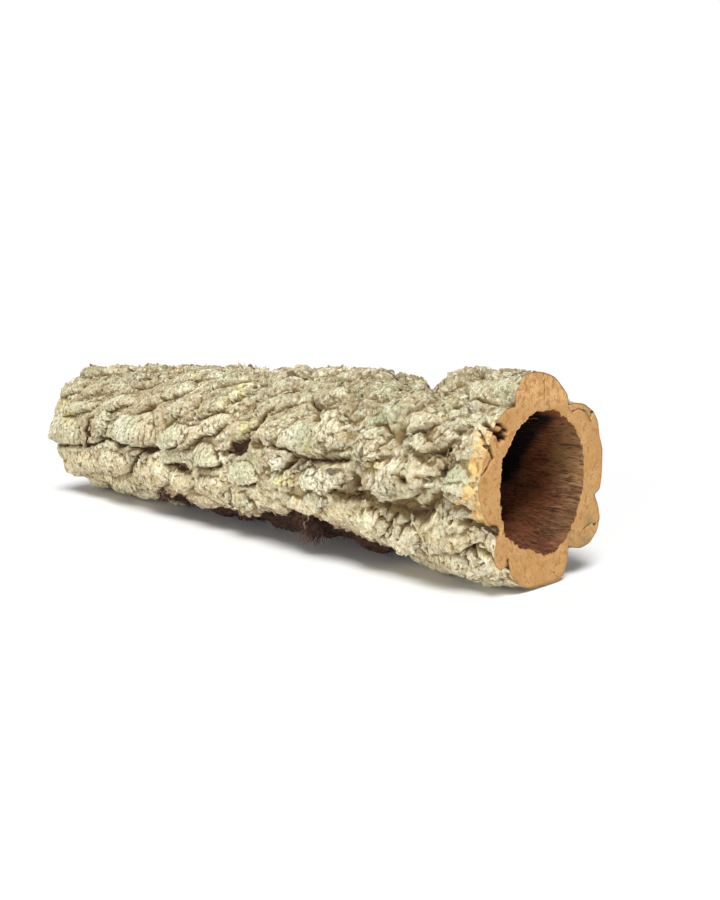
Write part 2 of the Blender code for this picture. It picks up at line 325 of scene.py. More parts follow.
@dataclass(frozen=True)
class Crack:
    """An open crack along a route, in millimetres.

    Attributes:
        width: Its half width.
        depth: Its depth.
        route: Its corners: (back, round) in the bark, and (round, radius) in a sawn face.
    """

    width: float
    depth: float
    route: tuple[tuple[float, float], ...]

    def distance(self, spots: Spots) -> np.ndarray:
        """Return how far each place on the bark is from the crack's line."""
        nearest = np.full(spots.back.shape, np.inf)
        for (back_a, around_a), (back_b, around_b) in zip(self.route, self.route[1:]):
            off = (spots.back - back_a, arc(spots.around - around_a))
            step = (back_b - back_a, float(arc(around_b - around_a)))
            nearest = np.minimum(nearest, from_stretch(off, step))
        return nearest

    def depth_at(self, spots: Spots) -> np.ndarray:
        """Return how deep the crack is in the bark: a wide dip with a narrow split at its bottom."""
        distance = self.distance(spots)
        dip = np.exp(-(distance / self.width) ** 2)
        split = np.exp(-(distance / (0.3 * self.width)) ** 2)
        return self.depth * (0.75 * dip + 0.4 * split)

    def slit_at(self, points: np.ndarray, jag: np.ndarray) -> np.ndarray:
        """Return how deep the crack is as a slit in a sawn face.

        Args:
            points: The face's points in millimetres.
            jag: How far the slit's edge strays at each.

        Returns:
            One depth for each point.
        """
        corners = [face_spot(around, radius) for around, radius in self.route]
        nearest = np.full(points.shape[:-1], np.inf)
        for (side_a, height_a), (side_b, height_b) in zip(corners, corners[1:]):
            off = (points[..., 1] - side_a, points[..., 2] - height_a)
            nearest = np.minimum(nearest, from_stretch(off, (side_b - side_a, height_b - height_a)))
        return self.depth * np.exp(-(np.maximum(nearest + jag, 0.0) / self.width) ** 2)


def face_spot(around: float, radius: float) -> tuple[float, float]:
    """Return a place on a sawn face as its Y and Z in millimetres."""
    angle = math.radians(around)
    return -radius * math.cos(angle), AXIS_HEIGHT + radius * math.sin(angle)


@dataclass(frozen=True)
class Hollow:
    """A pit in the bark, in millimetres and degrees.

    Attributes:
        back: How far back its middle is.
        around: The angle of its middle.
        half_length: Half its length.
        half_width: Half its width.
        depth: Its depth.
    """

    back: float
    around: float
    half_length: float
    half_width: float
    depth: float

    def reach(self, spots: Spots, margin: float = 0.0) -> np.ndarray:
        """Return the squared distance of each place from its middle, which is 1 at its edge."""
        reach = ((spots.back - self.back) / (self.half_length + margin)) ** 2
        return reach + (arc(spots.around - self.around) / (self.half_width + margin)) ** 2

    def depth_at(self, spots: Spots) -> np.ndarray:
        """Return how deep the hollow is at each place."""
        return self.depth * np.exp(-self.reach(spots) ** 1.5)

    def around_it(self, spots: Spots) -> np.ndarray:
        """Return 1 in the hollow and close round it, falling to 0 further out."""
        return np.exp(-self.reach(spots, 4.0))


# The sawn near end, as (round, radius). It has a notch wherever the radius drops.
NEAR_OUTLINE = [
    (-170, 58), (-166, 53), (-161, 58.8), (-155, 64.2), (-148, 65.6), (-140, 63.2), (-132, 57),
    (-123, 47), (-118, 52), (-111, 59), (-103, 58.6), (-89, 56.8), (-79, 57.6), (-68, 57.4),
    (-57, 54.4), (-52, 50.6), (-48, 56.6), (-42, 57.6), (-35, 53.4), (-29, 46), (-22, 50), (-10, 54.4),
    (1, 58), (8, 57), (18, 55.2), (27, 55), (39, 56.4), (50, 54.4), (57, 50.4), (61, 57), (70, 61.6),
    (77, 61.2), (87, 59.2), (97, 57), (105, 53.6), (113, 50.8), (118, 46.6), (125, 51), (136, 56.6),
    (143, 59.6), (150, 60.6), (159, 59), (169, 60.6), (179, 59.4),
]

# The lumps that show, each as the values of a Lump.
LUMPS = [Lump(*row) for row in (
    (468, 4, 32, 21, 0, 8.5, 0.5), (399, 14, 16, 13, 65, 7.5, 0.3), (346, 11, 36, 20, 5, 9.5, 0.5),
    (385, 33, 30, 11, 20, 7.5, 0.2), (425, 52, 40, 15, 10, 7, 0), (362, 62, 28, 13, 15, 8, 0.3),
    (288, 10, 22, 12, 20, 8.5, 0.2), (452, -31, 44, 18, 5, 7.5, 0.3), (388, -22, 32, 18, 10, 8.5, 0.2),
    (326, -27, 30, 18, 25, 8.5, 0.3), (425, -8, 13, 8, 0, 6, 0), (297, 30, 15, 14, 30, 7.5, 0.3),
    (247, 38, 20, 15, 15, 8, 0.3), (290, 34, 18, 13, 10, 7, 0.4), (250, 16, 37, 9, 25, 8.5, 0.2),
    (244, -1, 16, 12, -10, 9.5, 0.8), (200, 25, 10, 6, 20, 7, 0.2), (223, 51, 11, 9, 30, 8.5, 0.3),
    (201, -10, 17, 12, 10, 9, 0.6), (214, -33, 11, 13, 0, 8.5, 0.4), (249, -25, 24, 12, 10, 7.5, 0.3),
    (289, -29, 19, 11, 15, 7, 0.2), (134, 22, 36, 20, 20, 10, 0.5), (155, 4, 15, 9, 35, 8.5, 0.4),
    (121, -5, 24, 11, 15, 8.5, 0.3), (140, -23, 26, 7, 0, 7.5, 0.2), (164, -12, 15, 8, 10, 7.5, 0.2),
    (213, -48, 17, 12, 0, 8, 0.2), (138, 55, 18, 17, 30, 8.5, 0.3), (128, 84, 26, 18, 15, 9.5, 0.2),
    (68, 50, 20, 15, 50, 6.5, 0.1), (47, 37, 17, 10, 35, 8, 0.3), (84, 16, 15, 17, 60, 7.5, 0.3),
    (54, 4, 23, 14, 10, 9, 0.5), (34, 25, 18, 6, 15, 8.5, 0.2), (84, -29, 13, 15, 20, 9, 0.3),
    (66, -38, 14, 14, 40, 8, 0.2), (31, -27, 20, 15, 15, 9, 0.4), (52, 74, 16, 17, 35, 11.5, 0.1),
    (16, 64, 18, 18, 20, 9.5, 0.2), (20, 37, 15, 10, 40, 8, 0.2), (15, 2, 13, 14, 0, 9.5, 0.4),
    (12, -20, 14, 12, 10, 8.5, 0.3), (25, -53, 32, 14, 10, 9, 0.3), (480, -40, 22, 15, 0, 8, 0.2),
    (335, -52, 30, 12, 5, 8, 0.2), (278, -50, 26, 12, 5, 8, 0.2), (402, -50, 32, 12, 0, 8, 0.2),
    (303, 72, 28, 15, 15, 8.5, 0.3), (340, 90, 26, 14, 10, 9, 0.2), (255, 70, 24, 16, 20, 8.5, 0.3),
    (200, 74, 24, 15, 20, 9, 0.3), (168, 90, 22, 14, 20, 9, 0.2), (472, 48, 26, 15, 10, 9.5, 0.2),
    (445, 82, 28, 16, 5, 8.5, 0.2), (395, 88, 24, 14, 10, 8.5, 0.2), (482, 74, 18, 16, 0, 9.5, 0.2),
    (180, 43, 22, 14, 25, 7.5, 0.2), (172, 20, 18, 11, 30, 6, 0.1), (186, 60, 20, 13, 25, 8, 0.2),
    (104, 41, 18, 13, 30, 7.5, 0.3), (102, -14, 14, 8, 20, 7, 0.3), (305, 51, 20, 13, 20, 8, 0.3),
    (335, 36, 20, 13, 25, 8, 0.2), (90, 60, 16, 12, 30, 5.5, 0.1), (8, 93, 16, 14, 0, 8, 0.2),
    (230, 90, 24, 14, 10, 9, 0.2), (280, 92, 22, 14, 10, 8.5, 0.2), (450, 24, 30, 12, 10, 8, 0.2),
    (46, 92, 17, 14, 0, 10, 0.2), (202, 93, 9, 12, 10, 10, 0.2), (24, 92, 12, 12, 0, 9.5, 0.2),
)]

# The rest of the bark carries rows of lumps of about this size, staggered like tiles.
REST_FROM, REST_TO = 104.0, 300.0
REST_LENGTH, REST_WIDTH = 46.0, 27.0

# The sawn near end's hollow, as (round, radius).
HOLE_OUTLINE = [
    (-165, 38.6), (-144, 39.7), (-125, 41.3), (-107, 42.1), (-96, 41.8), (-75, 37.7), (-54, 38.6),
    (-36, 42.3), (-28, 41.5), (-9, 40.1), (9, 39.8), (22, 41.2), (36, 39.5), (51, 39.5), (70, 39.9),
    (87, 39.2), (101, 39.4), (114, 38.6), (137, 40.0), (158, 40.4), (177, 39.7),
]

# How deep in the hollow its wall is painted black as shadow, as (round, back).
PAINTED_SHADOW_FROM = [
    (0, 66), (50, 24), (80, 8), (120, 8), (131, 13), (141, 22), (158, 33), (178, 44), (202, 58),
    (211, 68), (240, 110), (300, 130),
]

# Patches of lichen in three colours, as (back, round, half length, half width).
LEMON_SPOTS = [
    (227, 52, 9, 8), (199, 22, 5, 6), (235, 40, 3, 6), (77, 6, 4, 4), (457, 15, 7, 6), (477, 26, 8, 5),
    (155, -9, 6, 5), (300, 64, 4, 3), (40, 55, 3, 3), (350, 130, 7, 6), (170, 160, 6, 6),
]
WHITE_SPOTS = [
    (61, 12, 4, 5), (161, 0, 7, 6), (111, -2, 5, 4), (364, 17, 12, 6), (358, 6, 9, 8), (150, 20, 7, 5),
    (20, 48, 6, 4), (260, 20, 8, 5), (60, 150, 8, 6), (290, 170, 9, 7), (400, 140, 9, 6),
]
MINT_SPOTS = [
    (3, 51, 9, 11), (9, 66, 15, 12), (14, 11, 8, 9), (81, 35, 16, 9), (139, 22, 10, 8),
    (202, -8, 9, 8), (358, 12, 20, 12), (95, 66, 18, 10), (250, 60, 18, 9), (130, 120, 24, 14),
    (300, 150, 26, 14), (60, 175, 20, 14), (440, 160, 24, 12), (420, 60, 16, 9),
]

# Dark brown spots painted as shade in pits and slits and between the lumps, as (back, round, half length,
# half width).
SHADE_SPOTS = [
    (95, -9, 6, 5), (91, -4, 3, 3), (64, -19, 6, 3), (52, -21, 6, 4), (41, -18, 4, 4), (47, 3, 3, 3),
    (30, 19, 6, 3), (61, 25, 4, 4), (75, 31, 3, 4), (83, 14, 2, 6), (59, 30, 7, 2), (20, 10, 2, 6),
    (4, -18, 8, 4), (137, 43, 3, 4), (420, 7, 5, 5), (400, -1, 7, 3), (365, -6, 7, 4), (330, -7, 10, 4),
    (348, -18, 3, 9), (468, -15, 14, 2), (205, 6, 11, 6), (216, 1, 7, 4), (284, -16, 12, 5),
    (245, -10, 9, 3), (269, 33, 2, 9), (138, 7, 7, 4), (223, -30, 4, 8), (107, 1, 5, 4), (156, 55, 4, 3),
    (300, 40, 4, 3), (378, 40, 9, 3), (440, 33, 8, 3), (190, 70, 8, 3), (330, 74, 10, 3),
    (420, 78, 9, 3), (110, 84, 7, 4), (250, -140, 10, 6), (120, 165, 9, 5), (390, 150, 10, 5),
    (60, -120, 8, 5), (330, -100, 9, 5),
]

# The ragged edge below which the bark is torn away, as (back, round), and how deep that is.
TORN_EDGE = [
    (84, -58), (100, -50), (112, -45), (128, -41), (141, -38), (147, -32), (155, -31), (170, -42),
    (184, -43), (204, -46), (235, -51), (263, -51), (291, -48), (326, -48), (352, -46),
]
TORN_DEPTH = 4.5

CRACKS = [Crack(width, depth, tuple(route)) for width, depth, route in (
    (2.8, 5.6, [(224, 1), (207, 4), (196, 16), (186, 29), (177, 37)]),
    (1.9, 4, [(266, 54), (272, 44), (268, 32), (260, 25)]),
    (2.2, 4.8, [(332, -7), (347, -16), (362, -28), (372, -38)]),
    (2.8, 4.8, [(441, -13), (414, -9), (391, -1), (358, -4), (335, -7), (308, -3)]),
    (2.5, 4.8, [(494, -17), (470, -16), (445, -13)]),
    (2.2, 4, [(433, 3), (425, 12), (419, 17)]),
    (2.2, 4.8, [(264, -10), (246, -13), (230, -10)]),
    (2.5, 4, [(300, -16), (282, -20), (270, -21)]),
    (2.2, 4.8, [(220, -19), (209, -21), (192, -19)]),
    (2.5, 4.8, [(170, 11), (152, 10), (135, 6), (120, 5), (100, 8)]),
    (1.7, 4, [(160, -4), (150, 2), (141, 8)]),
    (1.7, 4, [(147, -4), (140, 3), (134, 7)]),
    (4.4, 5.6, [(110, -15), (96, -14), (84, -12)]),
    (5.5, 5.6, [(78, -17), (64, -20), (52, -21), (40, -17), (32, -8), (26, -2)]),
    (1.9, 4, [(22, 15), (28, 10), (27, 3), (29, -3), (19, -6), (10, -10)]),
    (1.9, 4, [(66, -24), (74, -34), (84, -43)]),
    (1.7, 3.2, [(56, -26), (67, -40)]),
    (1.9, 3.2, [(82, 31), (75, 32), (69, 26), (74, 17)]),
    (2.2, 4, [(150, 52), (134, 36), (126, 28)]),
    (2.8, 4, [(30, -42), (14, -36), (0, -40)]),
    (2.2, 4, [(378, 54), (368, 70), (345, 62)]),
    (4.2, 8.5, [(0, -28), (5, -24), (12, -20)]),
    (2.2, 6, [(17, -38), (12, -44), (9, -49)]),
    (1.3, 5, [(0, 34), (9, 38)]),
    (1.3, 5, [(0, 24), (5, 29), (9, 32)]),
    (2.8, 4, [(0, 57), (16, 53), (34, 49)]),
    (3.3, 5.6, [(0, 118), (26, 112), (62, 119), (104, 114)]),
    (3.3, 5.6, [(0, -166), (34, -160), (76, -166), (130, -158)]),
    (3.3, 5.6, [(0, -123), (38, -118), (84, -126), (150, -121)]),
    (2.2, 4, [(0, -52), (16, -48), (40, -45)]),
    (3.3, 4.8, [(494, 132), (440, 126), (392, 136), (330, 129), (262, 137)]),
    (3.3, 4.8, [(494, -134), (450, -140), (396, -131), (340, -138), (286, -130)]),
    (2.8, 4.8, [(260, 168), (210, 160), (168, 170), (140, 164)]),
    (2.8, 4.8, [(420, 172), (372, 164), (330, 176)]),
    (8.5, 11, [(101, 114), (79, 91), (56, 67)]),
    (13, 4, [(122, 114), (101, 91), (80, 69)]),
    (7, 4.5, [(256, 112), (235, 91), (213, 70)]),
)]

HOLLOWS = [Hollow(*row) for row in (
    (207, 7, 10, 6, 9), (50, 3, 3, 3, 5), (29, 20, 6, 3, 5), (101, 40, 4, 3, 4), (92, -5, 5, 4, 4),
    (62, 27, 6, 6, 5), (426, 12, 5, 5, 4), (360, 152, 13, 6, 6), (214, 196, 11, 7, 6),
    (96, 148, 12, 7, 6), (420, -116, 14, 6, 5),
    (427, -2, 7, 11, 5), (367, -4, 6, 4, 4), (327, -7, 9, 3, 5), (282, -17, 12, 6, 4),
    (267, 33, 2.5, 8, 4), (301, 22, 5, 6, 3.5), (362, 58, 11, 3, 4), (185, 11, 11, 4, 3.5),
    (143, 46, 2.5, 3, 3.5), (133, 34, 3, 5, 3.5), (91, -4, 4.5, 3.5, 5), (97, -15, 12, 3, 5),
    (257, 43, 4, 5, 3.5), (202, 37, 2.5, 2.2, 3), (52, -17, 14, 6.5, 6.5), (25, 9, 3, 3, 3.5),
    (103, 42, 3, 6, 3.5), (6, 12, 3, 3.5, 3), (72, 56, 4, 2.5, 3), (330, 30, 6, 3, 3),
    (410, 32, 4, 3, 3), (455, 46, 5, 2.5, 3), (230, 66, 5, 3, 3.5), (172, 54, 3, 3, 3),
)]

# Slits in the sawn near face, as (width, depth, ((round, radius), ...)).
FACE_SLITS = [Crack(width, depth, route) for width, depth, route in (
    (1.1, 6.0, ((33, 60), (33.5, 55), (34.5, 49), (36.7, 44.4))), (1.8, 6.0, ((34, 47.5), (37, 47.5))),
    (0.9, 5.0, ((26, 59), (25, 55), (23, 51), (20.5, 49))),
    (0.8, 4.0, ((38, 55), (40.6, 50.4), (41, 45))),
    (0.35, 2.0, ((87, 58), (88, 51), (87.5, 44))), (2.2, 7.0, ((-16, 62), (-21, 55), (-27, 46.5))),
    (0.6, 3.0, ((142, 60), (144, 55))), (0.6, 3.0, ((-50, 49), (-56, 53))),
    (0.5, 2.5, ((10, 55), (14, 51.5), (18, 50.5))), (0.4, 2.0, ((-105, 58), (-102, 53))),
    (0.45, 1.6, ((125, 45), (130, 50), (137, 53.5), (147, 55))),
    (0.35, 1.6, ((-143, 52), (-149, 57), (-150, 62), (-155, 66))),
)]

# Olive stains on the sawn near face, as (round, radius, reach).
FACE_STAINS = [
    (-135, 58, 9.0), (-149, 54, 6.0), (-128, 45, 5.0), (-64, 56, 4.0), (137, 54, 4.0), (-28, 52, 5.0),
]


def rest_lumps() -> list[Lump]:
    """Lay staggered rows of lumps over the back and the underside."""
    draws = random.Random(Seed.REST)
    rows = round(math.radians(REST_TO - REST_FROM) * BARK_RADIUS / REST_WIDTH)
    columns = round(LENGTH / REST_LENGTH)
    lumps = []
    for row in range(rows):
        for column in range(columns + 1):
            back = (column + 0.5 * (row % 2)) * REST_LENGTH + draws.uniform(-11, 11)
            around = REST_FROM + (row + 0.5) * (REST_TO - REST_FROM) / rows + draws.uniform(-5, 5)
            lumps.append(Lump(back, around, REST_LENGTH * draws.uniform(0.4, 0.72),
                              REST_WIDTH * draws.uniform(0.42, 0.7), draws.uniform(0, 35),
                              draws.uniform(7.0, 9.8), draws.uniform(0.1, 0.6)))
    return lumps


def stained(patches: list[tuple[float, float, float, float]], spots: Spots) -> np.ndarray:
    """Return how far each place lies in one of the listed patches, from 0 to 1."""
    share = np.zeros(spots.back.shape)
    for patch in patches:
        share = np.maximum(share, np.exp(-Hollow(*patch, depth=0.0).reach(spots)))
    return share


def above_tear(spots: Spots) -> np.ndarray:
    """Return how far round the bark each place is above the torn edge, in millimetres."""
    backs, rounds = np.array(TORN_EDGE).T
    return arc(spots.around - np.interp(spots.back, backs, rounds))


def torn_share(spots: Spots, lowest: float = -84.0) -> np.ndarray:
    """Return 1 where the bark is torn away below its ragged lower edge at the front, else 0."""
    ends = eased(spots.back, 84.0, 100.0) * (1.0 - eased(spots.back, 338.0, 352.0))
    return eased(-above_tear(spots), 0.0, 2.2) * eased(arc(spots.around - lowest), 0.0, 8.0) * ends


def hem_share(spots: Spots) -> np.ndarray:
    """Return how close each place is above the torn edge at the front, from 0 to 1."""
    above = above_tear(spots)
    ends = eased(spots.back, 70.0, 96.0) * (1.0 - eased(spots.back, 345.0, 380.0))
    return eased(above, -4.0, 0.0) * (1.0 - eased(above, 1.0, 11.0)) * ends


@dataclass
class Sheet:
    """A regular sheet of places on the tube, as rows along it and columns round it.

    Attributes:
        back: Millimetres back from the near end, one for each place.
        around: Degrees round the tube, one for each place.
        points: The places' points in millimetres, once the sheet is shaped.
        marks: What the finishes read, each by its name, from 0 to 1.
    """

    back: np.ndarray
    around: np.ndarray
    points: np.ndarray | None = None
    marks: dict[str, np.ndarray] = field(default_factory=dict)

    @classmethod
    def laid(cls, rows: np.ndarray) -> "Sheet":
        """Lay a sheet right round the tube, with a row at each given distance back."""
        columns = np.arange(ROUND_STEPS) * 360.0 / ROUND_STEPS
        back, around = np.meshgrid(rows, columns, indexing="ij")
        return cls(back, around)

    def wrap(self, radius: np.ndarray, slide_back: np.ndarray | float = 0.0,
             slide_arc: np.ndarray | float = 0.0) -> None:
        """Set the sheet's points from distances to the tube's axis.

        Args:
            radius: The distance for each place.
            slide_back: How far each place is pushed back along the tube.
            slide_arc: How far each place is pushed round it.
        """
        angle = np.radians(self.around) + slide_arc / BARK_RADIUS
        height = np.maximum(AXIS_HEIGHT + radius * np.sin(angle), 0.0)
        along = LENGTH / 2 - self.back - slide_back
        self.points = np.stack([along, -radius * np.cos(angle), height], axis=2)

    def normals(self) -> np.ndarray:
        """Return the smooth normal at each place, pointing away from the tube's axis."""
        across = np.roll(self.points, -1, axis=1) - np.roll(self.points, 1, axis=1)
        return unit(np.cross(np.gradient(self.points, axis=0), across))

    def blurred(self, values: np.ndarray, reach: float) -> np.ndarray:
        """Return values smoothed over about the given reach in millimetres."""
        row_step = float(np.abs(np.diff(self.back[:, 0])).mean())
        column_step = 2 * math.pi * BARK_RADIUS / self.around.shape[1]
        for axis, step in enumerate((row_step, column_step)):
            taps = max(1, round(reach / step))
            weights = {tap: math.exp(-2.0 * (tap / taps) ** 2) for tap in range(-taps, taps + 1)}
            total = np.zeros_like(values)
            for tap, weight in weights.items():
                rows = np.clip(np.arange(len(values)) + tap, 0, len(values) - 1)
                total += weight * (np.roll(values, tap, axis=1) if axis else values[rows])
            values = total / sum(weights.values())
        return values

    def sleeve(self, rows: slice, normals: np.ndarray) -> "Sleeve":
        """Return some rows of the sheet as a sleeve that faces away from the axis."""
        marks = {mark: values[rows] for mark, values in self.marks.items()}
        return Sleeve(self.points[rows], normals[rows], marks)


@dataclass
class Sleeve:
    """Rows of points, closed round the tube, that are made into one mesh.

    Attributes:
        points: The points in millimetres, by row and column.
        normals: The smooth normal at each.
        marks: The marks at each.
        inside: True where the faces look towards the tube's axis.
    """

    points: np.ndarray
    normals: np.ndarray
    marks: dict[str, np.ndarray]
    inside: bool = False

    def mesh(self, name: str) -> bpy.types.Mesh:
        """Return the sleeve as a finished mesh, in metres."""
        shape, row, column = self._rolled_grid()
        data = bpy.data.meshes.new(name)
        shape.to_mesh(data)
        shape.free()
        data.vertices.foreach_set("co", as_floats(self.points[row, column] * MM))
        store_marks(data, {mark: values[row, column] for mark, values in self.marks.items()})
        data.shade_smooth()
        outward = -1.0 if self.inside else 1.0
        data.normals_split_custom_set_from_vertices(self.normals[row, column] * outward)
        return data

    def _rolled_grid(self) -> tuple[bmesh.types.BMesh, np.ndarray, np.ndarray]:
        """Return a grid welded into a sleeve, with each vertex's row and column."""
        rows, columns = self.points.shape[:2]
        shape = bmesh.new()
        bmesh.ops.create_grid(shape, x_segments=rows - 1, y_segments=columns, size=0.5)
        shape.verts.ensure_lookup_table()
        flat = np.array([vert.co[:2] for vert in shape.verts]) + 0.5
        row = np.rint(flat[:, 0] * (rows - 1)).astype(int)
        column = np.rint(flat[:, 1] * columns).astype(int)
        seam = {int(row[index]): shape.verts[int(index)] for index in np.flatnonzero(column == 0)}
        targets = {shape.verts[int(index)]: seam[int(row[index])]
                   for index in np.flatnonzero(column == columns)}
        bmesh.ops.weld_verts(shape, targetmap=targets)
        if self.inside:
            bmesh.ops.reverse_faces(shape, faces=shape.faces)
        kept = column < columns
        return shape, row[kept], column[kept]


def as_floats(values: np.ndarray) -> np.ndarray:
    """Return numbers as one flat row that a mesh takes."""
    return np.ascontiguousarray(values, dtype=np.float32).ravel()


def store_marks(data: bpy.types.Mesh, marks: dict[str, np.ndarray]) -> None:
    """Store marks on a mesh's points, where the finishes read them."""
    for mark, values in marks.items():
        layer = data.attributes.new(mark, "FLOAT", "POINT")
        layer.data.foreach_set("value", as_floats(values))
    data.update()


def shown(name: str, data: bpy.types.Mesh) -> bpy.types.Object:
    """Put a finished mesh in the scene as a piece, and report it."""
    data.name = name
    piece = bpy.data.objects.new(name, data)
    bpy.context.collection.objects.link(piece)
    LOG.info("%s: %d triangles", name, sum(len(face.vertices) - 2 for face in data.polygons))
    return piece


@dataclass
class Carried:
    """Which lump each place is on.

    Attributes:
        height: The height over the valleys.
        end: The place in the lump's direction lengthwise, in millimetres.
        side: The place in the lump's direction across.
        swell: The same, as a share of the lump's half width.
        held: 1 where a lump is on top and 0 on the ground.
        tone: The lump's own tone from 0 to 1.
    """

    height: np.ndarray
    end: np.ndarray
    side: np.ndarray
    swell: np.ndarray
    held: np.ndarray
    tone: np.ndarray

    @classmethod
    def laid(cls, lumps: list[Lump], spots: Spots, ground: np.ndarray) -> "Carried":
        """Lay lumps over the ground and each other, and note which one each place is on."""
        carried = cls(ground.copy(), *(np.zeros_like(ground) for _ in range(4)), np.full(ground.shape, 0.5))
        draws = random.Random(Seed.REST)
        for lump in lumps:
            tone = draws.random()
            near = lump.near(spots)
            end, side = lump.local(Spots(spots.back[near], spots.around[near]))
            height = lump.height(end, side)
            higher = height > carried.height[near]
            over = tuple(index[higher] for index in near)
            carried.height[over] = height[higher]
            carried.end[over], carried.side[over] = end[higher], side[higher]
            carried.swell[over] = side[higher] / lump.half_width
            carried.tone[over], carried.held[over] = tone, 1.0
        return carried


@dataclass(frozen=True)
class Layers:
    """Thin layers of crust that droop over each other like wet paper.

    Attributes:
        width: How wide a layer is round the tube, in millimetres.
        stray: How far its edge strays, in millimetres.
        height: How far it stands out at its edge.
        field_size: The size of the stretches that have such layers.
        field_share: Above which noise they are at full height.
        edge: How thin a layer is where its edge line shows.
        seed: Which layers they are.
        field_seed: Which stretches have them.
    """

    width: float
    stray: float
    height: float
    field_size: float
    field_share: float
    edge: float
    seed: Seed
    field_seed: Seed

    def thickness(self, grain: Grain, spots: Spots, points: np.ndarray) -> np.ndarray:
        """Return how thick the layer on each place is, from 0 to 1.

        Each layer is thickest at its ragged lower edge and thins out upwards.

        Args:
            grain: The noise that frays its edge.
            spots: Where to read it.
            points: The same places as points on a plain cylinder.

        Returns:
            One number for each place.
        """
        count = round(2 * math.pi * BARK_RADIUS / self.width)
        frayed = grain.rough(points, 0.6 * self.width, self.seed + 1)
        wander = self.stray * (grain.rough(points, 2.6 * self.width, self.seed) + 0.35 * frayed)
        turn = spots.around / 360.0 * count + (0.28 * spots.back + wander) / self.width
        share = turn - np.floor(turn)
        return (1.0 - share) * eased(share, 0.0, 0.07)

    def laid(self, grain: Grain, spots: Spots, points: np.ndarray) -> tuple[np.ndarray, np.ndarray]:
        """Return the layers' height at each place, and how far it lies on an edge."""
        thickness = self.thickness(grain, spots, points)
        here = eased(grain.noise(points, self.field_size, self.field_seed), -0.5, self.field_share)
        return self.height * here * (thickness - 0.5), here * eased(self.edge - thickness, 0.0, self.edge)


WIDE_LAYERS = Layers(11.0, 9.0, 2.4, 24.0, 0.5, 0.12, Seed.WIDE_LAYERS, Seed.WIDE_FIELDS)
NARROW_LAYERS = Layers(4.2, 4.5, 1.3, 13.0, 0.4, 0.15, Seed.NARROW_LAYERS, Seed.NARROW_FIELDS)


